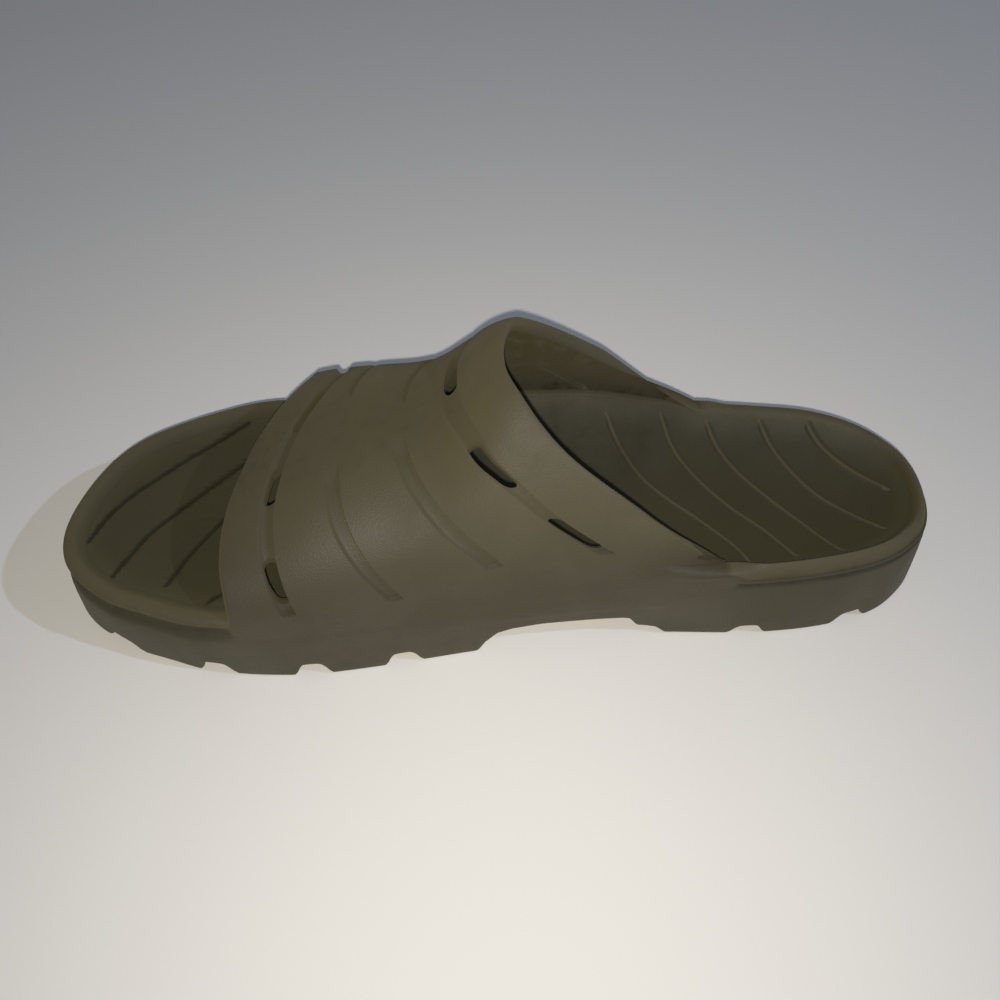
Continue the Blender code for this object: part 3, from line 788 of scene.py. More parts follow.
def buildBed(skin, innerRow, innerPoints, station, side, under):
    # Shoulder beside the footbed, then the footbed down to its middle line
    inToe = ramp(bed["toeStart"], bed["toeEnd"], station)
    width, drop = (blendSections({place: values[name] for place, values in bedEdge.items()}, under, inToe)
                   for name in ("width", "drop"))
    inward = ringPoints(station, side, 0.001, 0.0) - ringPoints(station, side, 0.0, 0.0)
    edge = innerPoints + unit(inward) * width[:, None]
    edge[:, 2] -= drop
    fall = edge - innerPoints
    previous = innerRow
    for step in range(1, bed["shoulderRows"]):
        u = step / bed["shoulderRows"]
        bend = 0.5 * math.pi * u
        straight = innerPoints + fall * u
        rounded = innerPoints + fall * [math.sin(bend), math.sin(bend), 1.0 - math.cos(bend)]
        points = straight + (rounded - straight) * under[:, None]
        # Painted shade on the shoulder under the strap
        dirtAndShade = bed["dirtAndShade"] * under * (1.0 - u)
        previous = layRow(skin, previous, points, bed=bed["rimTone"] + 0.3 * u, grime=dirtAndShade)
    previous = layRow(skin, previous, edge, bed=bed["edgeTone"])
    spineStation = bed["spineStart"] + bed["spineSpan"] * station
    spine = np.column_stack([stationX(spineStation), middleLine(spineStation), bedHeight(spineStation)])
    rings = grid["bedRings"]
    for step in range(1, rings):
        share = 1.0 - (step / rings) ** bed["ringCrowding"]
        points = spine + (edge - spine) * share
        along = points[:, 0] / shoeLength + 0.5
        toeward = ramp(bed["toeStart"], bed["toeEnd"], along)
        rolled = (1.0 - under) * (1.0 - toeward)
        bowl = sum(part * share ** power for part, power in bed["bowl"]) * rolled
        bowl = bowl + share ** bed["toeBowlPower"] * (1.0 - rolled)
        bottom = bedHeight(along)
        points[:, 2] = bottom + (edge[:, 2] - bottom) * bowl
        tone = (bed["edgeTone"] + 0.3 * ramp(0.0, 0.25, step / rings)) * (1.0 - bed["toeTone"] * toeward)
        # Painted shade on the footbed under the strap
        dirtAndShade = bed["dirtAndShade"] * under * 4.0 * share * (1.0 - share)
        previous = layRow(skin, previous, points, bed=tone, grime=dirtAndShade)
    spineRow = addRow(skin, spine[:len(station) // 2 + 1], bed=1.0)
    bridge(skin, previous, spineRow + spineRow[-2:0:-1], True)


def buildSkin():
    skin = newSkin()
    angles = strapRowAngles()
    outer = strapOuter(angles)
    outerStations, outerDepths = strapColumns(angles)
    innerAngles = crowdedAngles(grid["innerRows"], grid["innerCrowding"])
    innerStations, inner = strapInner(innerAngles)
    rimRows = int(np.searchsorted(angles, strap["rimAngle"] - 1e-6))
    rowShares = angles[:rimRows + 1] / angles[rimRows]
    station, side, last, rear, front = ringOf(outerStations)
    lipMerged = strapShare(station, rear, front, wall["lipFade"])
    rimMerged = strapShare(station, rear, front, wall["rimFade"])
    total = 2 * last

    # Upper half of the side wall and the lip
    seamRow, soleKeys = buildSole(skin)
    upperTaper = moulding["sideTaper"] * profile("taper", station)
    upperShoulder = rimHeight(station) - wall["shoulderDrop"]
    upperSeam = rimHeight(station) * wall["seamShare"]
    rows = []
    for share in wall["highRows"]:
        height = upperSeam + (upperShoulder - upperSeam) * share
        rows.append((wallInset(height, 0.0, upperShoulder, upperTaper), height, 0.0))
    atToe = np.where(station > wall["toeStation"], 1.0, 0.0)
    for k in range(len(lipSections["strap"]["inset"])):
        inset, drop, grime = (
            blendSections({place: values[name][k] for place, values in lipSections.items()}, lipMerged, atToe)
            for name in ("inset", "drop", "grime"))
        rows.append((inset, rimHeight(station) - drop, grime))
    ringKeys = np.where(side > 0.0, station, 2.0 - station)
    wallTop = None
    # Near the lip the wall's rows carry dirt and painted shade in its groove
    for inset, height, grime in rows:
        current = addRow(skin, ringPoints(station, side, inset, height), grime=grime, side=1.0)
        if wallTop is None:
            zipRows(skin, seamRow + seamRow[:1], np.append(soleKeys, 2.0),
                    current + current[:1], np.append(ringKeys, 2.0))
        else:
            bridge(skin, wallTop, current, True)
        wallTop = current
    inset, drop, grime = rimValues(0.0, station, side, rimMerged)
    # Dirt and painted shade in the dent where the strap's rear foot runs into the rim
    footDirtAndShade = wall["footDirtAndShade"] * np.exp(-((station - rear) * shoeLength / wall["footDirtAndShadeReach"]) ** 2)
    lipRow = layRow(skin, wallTop, ringPoints(station, side, inset, rimHeight(station) - drop),
                    grime=np.maximum(grime, footDirtAndShade), side=lipMerged)

    # Outer face of the strap; its first and last rows are the lip
    medialFoot, lateralFoot = feetOf(outer.shape[0], total)
    outerRows = [[lipRow[k] for k in medialFoot]]
    for row in range(1, len(angles) - 1):
        # Painted shade in the sunk channels
        sunk = np.clip(outerDepths[:, row] / channels["rearChannel"]["depth"], 0.0, 1.0)
        # Painted shade: the strap's outer face is darker low down
        lower = 1.0 - ramp(*strap["lowShadeHeights"], outer[:, row, 2])
        own = min(angles[row], 180.0 - angles[row])
        away = (outerStations[:, row] - outerStations[0, row]) * shoeLength
        # Dirt and painted shade in the dent at the strap's rear foot
        rearDirtAndShade = wall["footDirtAndShade"] * math.exp(-own / strap["footDirtAndShadeAngle"])
        rearDirtAndShade = rearDirtAndShade * np.exp(-away / wall["footDirtAndShadeReach"])
        # Painted shade on the strap's crown, which faces away from the front lamp
        crown = math.exp(-((angles[row] - strap["crownMiddle"]) / strap["crownSpread"]) ** 2)
        crown = crown * ramp(*strap["crownStations"], outerStations[:, row])
        dirtAndShade = np.maximum(sunk * strap["channelShade"], rearDirtAndShade) + strap["crownShade"] * crown
        outerRows.append(addRow(skin, outer[:, row], grime=dirtAndShade, side=lower))
    outerRows.append([lipRow[k] for k in lateralFoot])
    for first, second in zip(outerRows, outerRows[1:]):
        bridge(skin, first, second)

    # Inner ring: the rim's inner edge, and the foot of the strap's inner face
    inStation, inSide, inLast, inRear, inFront = ringOf(innerStations)
    inTotal = 2 * inLast
    inCount = inner.shape[0]
    inMedial, inLateral = feetOf(inCount, inTotal)
    inMerged = strapShare(inStation, inRear, inFront, wall["rimFade"])
    inset, drop, grime = rimValues(1.0, inStation, inSide, inMerged)
    innerPoints = ringPoints(inStation, inSide, inset, rimHeight(inStation) - drop)
    innerPoints[inMedial[1:-1]] = inner[1:-1, 0]
    innerPoints[inLateral[1:-1]] = inner[1:-1, -1]
    under = np.zeros(inTotal)
    for foot in (inMedial, inLateral):
        share = np.linspace(0.0, 1.0, inCount)
        under[foot] = ramp(0.0, 0.16, share) * ramp(0.0, 0.10, 1.0 - share)
    # Painted shade in the crease where the strap's inner face meets the ledge
    innerRow = addRow(skin, innerPoints, bed=bed["rimTone"], grime=bed["creaseShade"] * under)

    # Rim: rounded rows between the lip and the inner edge, round the heel and round the toe
    rimEnds = []
    for middle, inMiddle, reach in ((0, 0, grid["heelColumns"]), (last, inLast, grid["toeColumns"])):
        atHeel = middle == 0
        ring = [(middle + k) % total for k in range(-reach, reach + 1)]
        inRing = [(inMiddle + k) % inTotal for k in range(-reach, reach + 1)]
        previous = [lipRow[k] for k in ring]
        ends = [(previous[0], previous[-1])]
        for row in range(1, rimRows):
            at = station[ring]
            inset, drop, grime = rimValues(rowShares[row], at, side[ring], rimMerged[ring])
            points = ringPoints(at, side[ring], inset, rimHeight(at) - drop)
            if atHeel:
                current = addRow(skin, points[1:-1], grime=grime[1:-1])
                current = [outerRows[-1 - row][0]] + current + [outerRows[row][0]]
            else:
                current = addRow(skin, points, grime=grime)
            bridge(skin, previous, current)
            ends.append((current[0], current[-1]))
            previous = current
        inEdge = [innerRow[k] for k in inRing]
        if atHeel:
            outerRows[rimRows][0] = inEdge[-1]
            outerRows[-1 - rimRows][0] = inEdge[0]
        bridge(skin, previous, inEdge)
        rimEnds.append(ends)
    # The strap's first column near its foot is the rim's own edge
    for row in (rimRows, len(angles) - 1 - rimRows):
        skin["points"][outerRows[row][0]] = tuple(outer[0, row])

    # Inner face of the strap
    innerRows = [[innerRow[k] for k in inMedial]]
    for row in range(1, len(innerAngles) - 1):
        # The inner face is painted darker as shade, with chalk; the crease at its foot gets more painted shade
        own = min(innerAngles[row], 180.0 - innerAngles[row])
        dirtAndShade = strap["creaseShade"] * math.exp(-own / strap["creaseShadeAngle"])
        innerRows.append(addRow(skin, inner[:, row], inside=1.0, grime=dirtAndShade))
    innerRows.append([innerRow[k] for k in inLateral])
    for first, second in zip(innerRows, innerRows[1:]):
        bridge(skin, second, first)

    # Rear edge: it starts at the rim's inner edge
    rimAngle = angles[rimRows]
    rearAngles = rimAngle + innerAngles * (180.0 - 2.0 * rimAngle) / 180.0
    rearEdge = strapSurface(rearStation(rearAngles), rearAngles) + rearSweep(rearAngles)
    strips = edgeStrip(rearEdge, inner[0], rearAngles, rearStation(rearAngles), -1.0,
                       strap["rearCorner"], max(rimRows - 1, 6))
    lastEdge = [row[0] for row in innerRows]
    corners = (lastEdge[0], lastEdge[-1])
    outerEdge = [corners[0]] + [row[0] for row in outerRows[rimRows + 1:-1 - rimRows]] + [corners[1]]
    closeEdge(skin, outerEdge, angles[rimRows:len(angles) - rimRows], strips, rearAngles,
              [corners] * len(strips), lastEdge, 1.0)

    # Front edge: it starts at the end of the rim's section
    frontEdge = strapSurface(frontStation(innerAngles), innerAngles)
    strips = edgeStrip(frontEdge, inner[-1], innerAngles, frontStation(innerAngles), 1.0,
                       strap["frontCorner"], rimRows - 1)
    closeEdge(skin, [row[-1] for row in outerRows], angles, strips, innerAngles,
              rimEnds[1][1:], [row[-1] for row in innerRows], 0.0)

    buildBed(skin, innerRow, innerPoints, inStation, inSide, under)
    return skin


print("building the moulding's skin")
slideSkin = buildSkin()
slide = addSkin(slideSkin, "moulded_foam_slide")
print("skin vertices", len(slide.data.vertices), "faces", len(slide.data.polygons))


# Slots through the strap: arch angles between which each one is open
slots = {
    "rearChannel": [(11.0, 23.0), (36.0, 63.0), (95.0, 121.0), (160.0, 171.0)],
    "frontChannel": [(10.0, 41.0), (67.0, 84.0), (97.0, 118.0), (139.0, 170.0)],
    "width": 0.0043,
    "offset": 0.0023,
    "margin": 0.004,
    "footOverrun": 0.0018,
    "overrun": 0.0050,
    "footAngle": 8.0,
    "midAngle": 38.0,
    "footShare": {"rearChannel": 0.42, "frontChannel": 0.0},
    "uprightShare": 0.5,
    "samples": 25,
    "endSize": 0.12,
}


def addBar(skin, rows):
    # Closed bar through sections of the same count of points
    sections = [addRow(skin, row) for row in rows]
    for first, second in zip(sections, sections[1:]):
        bridge(skin, first, second, True)
    addFace(skin, sections[0])
    addFace(skin, sections[-1])


def slotWay(name, station, angle):
    # The cutter's way in, between square to the strap and straight down, and its length from
    # the outer face to behind the wall
    normal = strapNormal(station, np.array(angle))
    rise = ramp(slots["footAngle"], slots["midAngle"], min(angle, 180.0 - angle))
    foot = slots["footShare"][name]
    upright = foot + (slots["uprightShare"] - foot) * rise
    inward = -normal * (1.0 - upright) - np.array([0.0, 0.0, upright])
    inward[0] = 0.0
    inward = unit(inward)
    overrun = slots["footOverrun"] + (slots["overrun"] - slots["footOverrun"]) * rise
    return inward, moulding["strapWall"] / float(-normal @ inward) + overrun


def slotCutter():
    cutter = newSkin()
    spread = 0.5 - 0.5 * np.cos(np.linspace(0.0, math.pi, slots["samples"]))
    for name in ("rearChannel", "frontChannel"):
        for start, end in slots[name]:
            turns = np.linspace(start, end, 9)
            steps = np.diff(strapSurface(strapLine(name, turns), turns), axis=0)
            length = np.linalg.norm(steps, axis=1).sum()
            rows = []
            for share in spread:
                angle = start + (end - start) * share
                # The ends are round
                near = min(1.0, min(share, 1.0 - share) * length / (0.5 * slots["width"]))
                size = max(slots["endSize"], math.sqrt(1.0 - (1.0 - near) ** 2))
                middle = strapLine(name, angle) + slots["offset"] / shoeLength
                half = 0.5 * slots["width"] * size / shoeLength
                inward, through = slotWay(name, middle, angle)
                outside = -slots["margin"]
                rows.append([strapSurface(middle + place * half, np.array(angle)) + inward * reach
                             for place, reach in ((-1, outside), (1, outside), (1, through), (-1, through))])
            addBar(cutter, rows)
    return addSkin(cutter, "slot_cutter")


def curvePoints(rows, count):
    # Smooth curve in plan through rows of (station, share of the ball width)
    plan = np.array([(stationX(s), a * ballWidth) for s, a in rows])
    gaps = np.linalg.norm(np.diff(plan, axis=0), axis=1)
    keys = np.concatenate(([0.0], np.cumsum(gaps)))
    at = np.linspace(0.0, keys[-1], count)
    points = np.column_stack([smoothCurve(keys, plan[:, 0], at), smoothCurve(keys, plan[:, 1], at)])
    tangent = unit(np.gradient(points, axis=0))
    return points, np.column_stack([-tangent[:, 1], tangent[:, 0]])


bedFinder = BVHTree.FromPolygons([Vector(point) for point in slideSkin["points"]], slideSkin["faces"])


def onBed(plan, above):
    # Heights of the footbed under points of the plan, looked for from a height below the strap
    heights = []
    for x, y in plan:
        hit = bedFinder.ray_cast(Vector((x, y, above)), Vector((0.0, 0.0, -1.0)))[0]
        heights.append(hit.z if hit is not None else 0.03)
    return np.array(heights)


# Thin lines cut into the toe bed, as rows of (station, share of the ball width)
toeLines = {
    "width": 0.0014,
    "depth": 0.0012,
    "samples": 46,
    "section": [(-0.5, 0.0), (-0.6, -1.6), (0.6, -1.6), (0.5, 0.0), (0.28, 0.75), (0.0, 1.0), (-0.28, 0.75)],
    "above": 0.042,
    # How much darker the cut lines are: dirt and painted shade
    "dirtAndShade": 2.2,
    "darkCore": 0.0005,
    "darkReach": 0.0010,
    "darkStart": 0.75,
    "darkHeights": (0.02, 0.003),
    "lines": [
        [(0.971, 0.141), (0.954, 0.019), (0.932, -0.075), (0.904, -0.163), (0.874, -0.246),
         (0.840, -0.324), (0.806, -0.402)],
        [(0.935, 0.285), (0.922, 0.193), (0.903, 0.077), (0.867, -0.051), (0.818, -0.201), (0.790, -0.275)],
        [(0.874, 0.325), (0.856, 0.185), (0.829, 0.038), (0.795, -0.110)],
        [(0.824, 0.400), (0.802, 0.330), (0.775, 0.240)],
    ],
}


def toeLineCutter():
    cutter = newSkin()
    for rows in toeLines["lines"]:
        points, across = curvePoints(rows, toeLines["samples"])
        heights = onBed(points, toeLines["above"])
        sections = []
        for k, (point, normal, height) in enumerate(zip(points, across, heights)):
            fade = min(1.0, 0.15 + min(k, len(points) - 1 - k) / 7.0)
            ring = []
            for side, down in toeLines["section"]:
                place = point + normal * side * toeLines["width"] * fade
                depth = down * toeLines["depth"] * (fade if down > 0 else 1.0)
                ring.append((*place, height - depth))
            sections.append(ring)
        addBar(cutter, sections)
    return addSkin(cutter, "toe_line_cutter")


def cutWith(item, cutters):
    for cutter in cutters:
        cut = item.modifiers.new(cutter.name, "BOOLEAN")
        cut.operation = "DIFFERENCE"
        cut.solver = "EXACT"
        cut.object = cutter
    bpy.context.view_layer.update()
    settled = bpy.data.meshes.new_from_object(item.evaluated_get(bpy.context.evaluated_depsgraph_get()))
    item.modifiers.clear()
    item.data = settled
    for cutter in cutters:
        bpy.data.objects.remove(cutter, do_unlink=True)


print("cutting the strap's slots and the toe bed's lines")
cutWith(slide, [slotCutter(), toeLineCutter()])
print("after the cuts", len(slide.data.vertices), "vertices")


# Low ridges across the heel's footbed, as rows of (station, share of the ball width)
ridges = {
    "width": 0.0034,
    "height": 0.0010,
    "crest": -0.20,
    "sunk": 0.0005,
    # Painted highlight: tone of the ridges' crests
    "crestHighlightTone": 0.28,
    "samples": 90,
    "above": 0.041,
    "lines": [
        [(0.366, -0.308), (0.356, -0.243), (0.340, -0.165), (0.302, -0.035), (0.263, 0.083), (0.228, 0.235),
         (0.220, 0.320)],
        [(0.299, -0.318), (0.287, -0.233), (0.268, -0.141), (0.230, 0.005), (0.192, 0.132), (0.165, 0.290)],
        [(0.243, -0.310), (0.232, -0.230), (0.214, -0.145), (0.183, -0.035), (0.147, 0.097), (0.112, 0.280)],
        [(0.179, -0.300), (0.166, -0.219), (0.148, -0.136), (0.123, -0.037), (0.087, 0.067), (0.055, 0.170)],
        [(0.123, -0.280), (0.107, -0.210), (0.083, -0.137), (0.058, -0.069), (0.037, -0.008)],
    ],
}


def buildRidges():
    ridgeSkin = newSkin()
    crests = []
    offsets = np.array([-0.5, -0.44, -0.38, -0.30, ridges["crest"], -0.12, -0.04, 0.08, 0.2, 0.35, 0.5])
    for rows in ridges["lines"]:
        points, across = curvePoints(rows, ridges["samples"])
        sections = []
        for k, (point, normal) in enumerate(zip(points, across)):
            share = k / (len(points) - 1)
            fade = float(ramp(0.0, 0.05, share) * ramp(0.0, 0.09, 1.0 - share))
            width = ridges["width"] * (0.55 + 0.45 * fade)
            plan = point + normal * (offsets * width)[:, None]
            ground = onBed(plan, ridges["above"])
            steep = ramp(-0.5, ridges["crest"], offsets)
            slope = 1.0 - ramp(ridges["crest"], 0.5, offsets)
            lift = ridges["height"] * fade * np.minimum(steep, slope) - 0.00002
            ring = [(x, y, z) for (x, y), z in zip(plan, ground + lift)]
            ring.append((plan[-1][0], plan[-1][1], ground[-1] - ridges["sunk"]))
            ring.append((plan[0][0], plan[0][1], ground[0] - ridges["sunk"]))
            sections.append(ring)
            # Points given the painted highlight along each crest
            crests.extend(ring[4:6])
        addBar(ridgeSkin, sections)
    return addSkin(ridgeSkin, "footbed_ridges"), crests


print("laying the footbed's ridges")
footbedRidges, ridgeHighlightPoints = buildRidges()


def finderOf(points):
    finder = KDTree(len(points))
    for k, point in enumerate(points):
        finder.insert(point, k)
    finder.balance()
    return finder


def spreadMasks(item):
    # Copies the masks of the skin's own points to the nearest points of the cut mesh
    finder = finderOf(slideSkin["points"])
    nearest = [finder.find(vertex.co)[1] for vertex in item.data.vertices]
    for name in maskNames:
        values = np.array(slideSkin[name])[nearest]
        layer = item.data.attributes.new(name, "FLOAT", "POINT")
        layer.data.foreach_set("value", values.astype(np.float32))


def darkenToeLines(item):
    # The toe bed's cut lines are darker: dirt and painted shade in the grooves
    finder = finderOf([(x, y, 0.0) for rows in toeLines["lines"]
                       for x, y in curvePoints(rows, toeLines["samples"] * 4)[0]])
    layer = item.data.attributes["grime"].data
    low, high = toeLines["darkHeights"]
    top = rimHeight(0.9) + high
    for k, vertex in enumerate(item.data.vertices):
        x, y, z = vertex.co
        if x > stationX(toeLines["darkStart"]) and low < z < top:
            away = finder.find((x, y, 0.0))[2]
            fade = 1.0 - float(ramp(toeLines["darkCore"], toeLines["darkReach"], away))
            layer[k].value = max(layer[k].value, toeLines["dirtAndShade"] * fade)


def paintCrestHighlights(item, crests):
    # Painted highlight: the ridges' crests are paler than the bed
    finder = finderOf(crests)
    layer = item.data.attributes["bed"].data
    tone = ridges["crestHighlightTone"]
    for k, vertex in enumerate(item.data.vertices):
        away = finder.find(vertex.co)[2]
        layer[k].value = tone + (1.0 - tone) * float(ramp(0.0001, 0.0008, away))


spreadMasks(slide)
spreadMasks(footbedRidges)
darkenToeLines(slide)
paintCrestHighlights(footbedRidges, ridgeHighlightPoints)
for item in (slide, footbedRidges):
    item.data.shade_smooth()
    item.data.set_sharp_from_angle(angle=math.radians(36.0))


# Finish of the foam
foam = {
    "strapColour": (0.066, 0.0580, 0.0315, 1.0),
    # Painted shade: darker colour of the walls and of the strap's low part
    "lowShadeColour": (0.040, 0.0350, 0.0200, 1.0),
    "bedColour": (0.0285, 0.0252, 0.0100, 1.0),
    # Dirt, and painted shade in creases, grooves, channels, under the strap and on its crown
    "grimeColour": (0.0140, 0.0118, 0.0042, 1.0),
    "chalkColour": (0.080, 0.074, 0.060, 1.0),
    "wornTint": (0.62, 0.60, 0.56, 1.0),
    "wornShare": 0.28,
    # Painted shade on the strap's inner face
    "insideShadeShare": 0.5,
    "chalkShare": 0.45,
    "dirtAndShadeShare": 0.5,
    "dirtAndShadePatches": 0.4,
    "roughness": 0.61,
    "softness": 1.0,
    "specular": 0.42,
    "grainSize": 0.0005,
    "grainDepth": 0.00013,
    "blotch": (0.030, 0.35, 0.68),
    "patch": (0.006, 0.45, 0.75),
}


def nodeGroup(name, inputs, outputs):
    group = bpy.data.node_groups.new(name, "ShaderNodeTree")
    for label, kind, value in inputs:
        socket = group.interface.new_socket(name=label, in_out="INPUT", socket_type=kind)
        if value is not None:
            socket.default_value = value
    for label, kind in outputs:
        group.interface.new_socket(name=label, in_out="OUTPUT", socket_type=kind)
    return group, group.nodes.new("NodeGroupInput"), group.nodes.new("NodeGroupOutput")


def addNode(tree, kind, settings=(), links=()):
    # settings: pairs of input name or attribute and value; links: pairs of input name and socket
    node = tree.nodes.new(kind)
    for name, value in settings:
        if hasattr(node, name) and name not in node.inputs:
            setattr(node, name, value)
        else:
            node.inputs[name].default_value = value
    for name, socket in links:
        tree.links.new(node.inputs[name], socket)
    return node


def mathNode(tree, operation, first, second):
    node = tree.nodes.new("ShaderNodeMath")
    node.operation = operation
    for k, value in enumerate((first, second)):
        if isinstance(value, (int, float)):
            node.inputs[k].default_value = value
        else:
            tree.links.new(node.inputs[k], value)
    return node.outputs[0]


def makeGrainGroup():
    # Fine pebbled grain of the foam's skin
    group, source, out = nodeGroup(
        "foamGrain",
        [("Place", "NodeSocketVector", None), ("Size", "NodeSocketFloat", 0.0007)],
        [("Height", "NodeSocketFloat")])
    scale = mathNode(group, "DIVIDE", 1.0, source.outputs["Size"])
    fine = addNode(group, "ShaderNodeTexNoise", [("Detail", 2.0), ("Roughness", 0.6)],
                   [("Vector", source.outputs["Place"]), ("Scale", scale)])
    pebble = addNode(group, "ShaderNodeTexVoronoi", [("feature", "SMOOTH_F1"), ("Smoothness", 0.6)],
                     [("Vector", source.outputs["Place"]), ("Scale", scale)])
    group.links.new(out.inputs["Height"], mathNode(
        group, "ADD", mathNode(group, "MULTIPLY", fine.outputs["Fac"], 0.6),
        mathNode(group, "MULTIPLY", pebble.outputs["Distance"], 0.7)))
    return group


def makeBlotchGroup():
    # Soft uneven patches, as worn and handled foam has
    group, source, out = nodeGroup(
        "blotches",
        [("Place", "NodeSocketVector", None), ("Size", "NodeSocketFloat", 0.03),
         ("Low", "NodeSocketFloat", 0.4), ("High", "NodeSocketFloat", 0.65)],
        [("Mask", "NodeSocketFloat")])
    scale = mathNode(group, "DIVIDE", 1.0, source.outputs["Size"])
    noise = addNode(group, "ShaderNodeTexNoise", [("Detail", 5.0), ("Roughness", 0.62)],
                    [("Vector", source.outputs["Place"]), ("Scale", scale)])
    spread = addNode(group, "ShaderNodeMapRange", [("interpolation_type", "SMOOTHSTEP")],
                     [("Value", noise.outputs["Fac"]), ("From Min", source.outputs["Low"]),
                      ("From Max", source.outputs["High"])])
    group.links.new(out.inputs["Mask"], spread.outputs["Result"])
    return group


def mixColour(tree, factor, first, second, blend="MIX"):
    node = tree.nodes.new("ShaderNodeMix")
    node.data_type = "RGBA"
    node.blend_type = blend
    for socket, value in ((node.inputs[0], factor), (node.inputs[6], first), (node.inputs[7], second)):
        if isinstance(value, (tuple, float)):
            socket.default_value = value
        else:
            tree.links.new(socket, value)
    return node.outputs[2]


def newMaterial(name):
    material = bpy.data.materials.new(name)
    material.use_nodes = True
    return material, material.node_tree, material.node_tree.nodes["Principled BSDF"]


def makeFoam(grain, blotches):
    material, tree, shader = newMaterial("olive_foam_skin")
    place = [("Place", tree.nodes.new("ShaderNodeTexCoord").outputs["Object"])]
    bedMask, grime, inside, side = (
        addNode(tree, "ShaderNodeAttribute", [("attribute_name", name)]).outputs["Fac"] for name in maskNames)
    wide, small = (
        addNode(tree, "ShaderNodeGroup",
                [("node_tree", blotches), ("Size", size), ("Low", low), ("High", high)], place).outputs["Mask"]
        for size, low, high in (foam["blotch"], foam["patch"]))

    def times(first, second):
        return mathNode(tree, "MULTIPLY", first, second)

    def plus(first, second):
        return mathNode(tree, "ADD", first, second)

    # Painted shade: the walls and the strap's low part are darker
    colour = mixColour(tree, side, foam["strapColour"], foam["lowShadeColour"])
    # Painted shade on the strap's inner face and its rear edge's round; chalk on the inner face
    colour = mixColour(tree, times(inside, foam["insideShadeShare"]), colour, foam["bedColour"])
    colour = mixColour(tree, bedMask, colour, foam["bedColour"])
    colour = mixColour(tree, times(wide, foam["wornShare"]), colour, foam["wornTint"], "MULTIPLY")
    colour = mixColour(tree, times(inside, times(small, foam["chalkShare"])), colour, foam["chalkColour"])
    # Dirt and painted shade, a little patchy
    dirtAndShade = times(grime, plus(times(small, foam["dirtAndShadePatches"]), foam["dirtAndShadeShare"]))
    tree.links.new(shader.inputs["Base Color"], mixColour(tree, dirtAndShade, colour, foam["grimeColour"]))
    gloss = plus(times(wide, 0.10), foam["roughness"])
    gloss = plus(plus(gloss, times(dirtAndShade, 0.25)), times(bedMask, 0.10))
    tree.links.new(shader.inputs["Roughness"], gloss)
    pebbles = addNode(tree, "ShaderNodeGroup", [("node_tree", grain), ("Size", foam["grainSize"])], place)
    bump = addNode(tree, "ShaderNodeBump", [("Strength", 1.0), ("Distance", foam["grainDepth"])],
                   [("Height", pebbles.outputs["Height"])])
    tree.links.new(shader.inputs["Normal"], bump.outputs["Normal"])
    shader.inputs["Specular IOR Level"].default_value = foam["specular"]
    shader.inputs["Diffuse Roughness"].default_value = foam["softness"]
    return material


print("making the foam's finish")
foamSkin = makeFoam(makeGrainGroup(), makeBlotchGroup())
for item in (slide, footbedRidges):
    item.data.materials.clear()
    item.data.materials.append(foamSkin)
    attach(item, "root")
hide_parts("moulded_slide")


# Floor
floor = {
    "size": 6.0,
    "colour": (0.70, 0.69, 0.68, 1.0),
    "roughness": 0.6,
}


def buildFloor():
    mesh = bpy.data.meshes.new("pale_floor")
    half = 0.5 * floor["size"]
    corners = [(x * half, y * half, 0.0) for x, y in ((-1, -1), (1, -1), (1, 1), (-1, 1))]
    mesh.from_pydata(corners, [], [(0, 1, 2, 3)])
    item = addObject(mesh, "pale_floor")
    material, _, shader = newMaterial("pale_floor")
    shader.inputs["Base Color"].default_value = floor["colour"]
    shader.inputs["Roughness"].default_value = floor["roughness"]
    mesh.materials.append(material)


# Camera: target, distance and angles of the photograph
view = {
    "target": (-0.0006, -0.01035, 0.020),
    "distance": 0.503,
    "elevation": 46.3,
    "azimuth": 179.6,
    "roll": -1.5,
    "lens": 50.4,
    "sensor": 36.0,
}


def lookFrom(azimuth, elevation):
    a = math.radians(azimuth)
    e = math.radians(elevation)
    return Vector((math.sin(a) * math.cos(e), -math.cos(a) * math.cos(e), math.sin(e)))


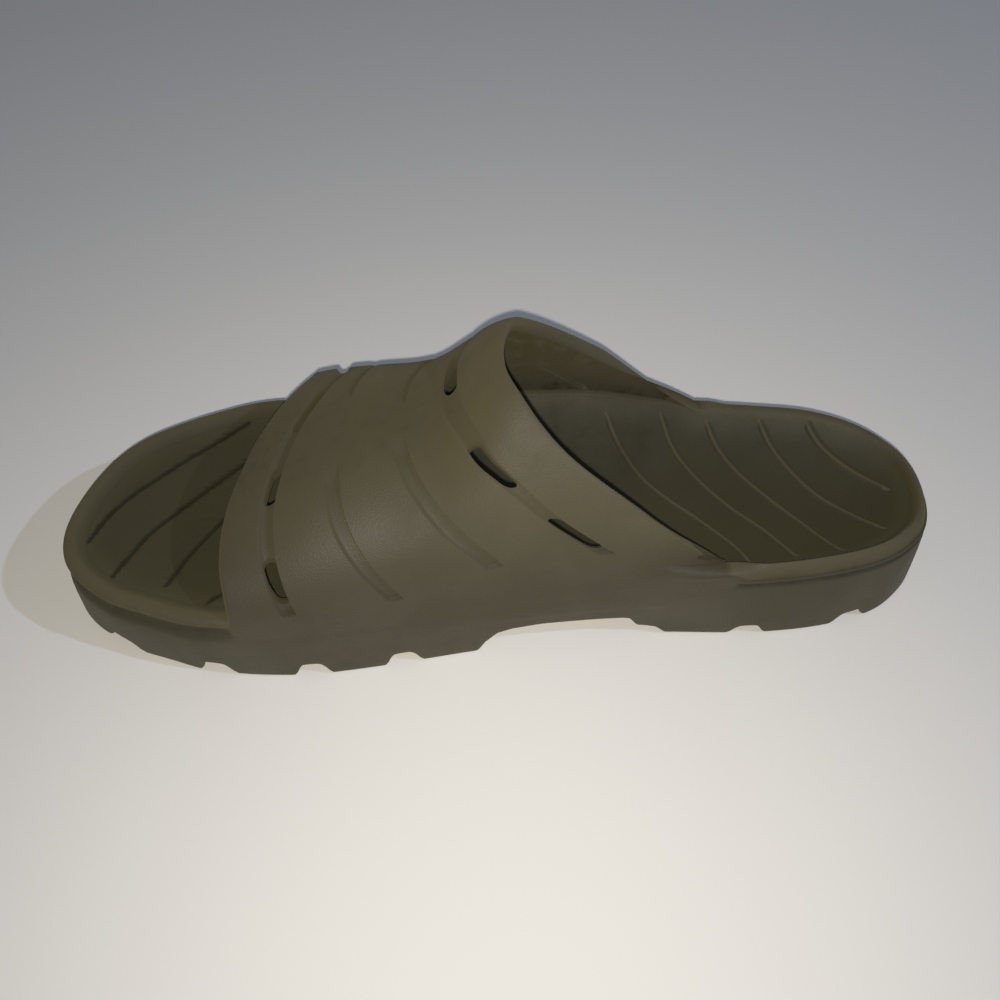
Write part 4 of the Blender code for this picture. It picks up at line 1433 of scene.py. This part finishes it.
def buildCamera():
    back = lookFrom(view["azimuth"], view["elevation"])
    ahead = -back
    right = ahead.cross(Vector((0.0, 0.0, 1.0))).normalized()
    up = right.cross(ahead)
    roll = math.radians(view["roll"])
    rolledRight = math.cos(roll) * right + math.sin(roll) * up
    rolledUp = math.cos(roll) * up - math.sin(roll) * right
    data = bpy.data.cameras.new("camera")
    data.sensor_width = view["sensor"]
    data.lens = view["lens"]
    data.clip_start = 0.01
    camera = addObject(data, "camera")
    place = Vector(view["target"]) + back * view["distance"]
    turned = Matrix((rolledRight, rolledUp, back)).transposed().to_4x4()
    camera.matrix_world = Matrix.Translation(place) @ turned
    bpy.context.scene.camera = camera


# Lights: one by the camera, a weak one from the heel's side, and a cool sky
lights = {
    "front": {"azimuth": 179.3, "elevation": 44.8, "distance": 0.53, "size": 0.006, "power": 0.80,
              "spread": 100.0, "aim": (0.0, 0.01, 0.02), "colour": (1.0, 0.93, 0.80)},
    "heel": {"azimuth": 241.2, "elevation": 43.8, "distance": 2.4, "size": 0.05, "power": 13.5,
             "spread": 180.0, "aim": (0.0, 0.0, 0.02), "colour": (0.59, 0.70, 1.0)},
    "sky": {"colour": (0.92, 0.985, 1.0), "strength": 0.131},
}


def buildLights():
    for name in ("front", "heel"):
        light = lights[name]
        data = bpy.data.lights.new(name + "_light", "AREA")
        data.shape = "DISK"
        data.size = light["size"]
        data.energy = light["power"]
        data.color = light["colour"]
        data.spread = math.radians(light["spread"])
        item = addObject(data, name + "_light")
        way = lookFrom(light["azimuth"], light["elevation"])
        item.location = Vector(view["target"]) + way * light["distance"]
        ahead = Vector(light["aim"]) - item.location
        item.rotation_euler = ahead.to_track_quat("-Z", "Y").to_euler()
    world = bpy.data.worlds.new("sky")
    world.use_nodes = True
    background = world.node_tree.nodes["Background"]
    background.inputs["Color"].default_value = (*lights["sky"]["colour"], 1.0)
    background.inputs["Strength"].default_value = lights["sky"]["strength"]
    bpy.context.scene.world = world


print("setting the floor, the camera and the lights")
buildFloor()
buildCamera()
buildLights()
bpy.context.scene.view_settings.view_transform = "Standard"
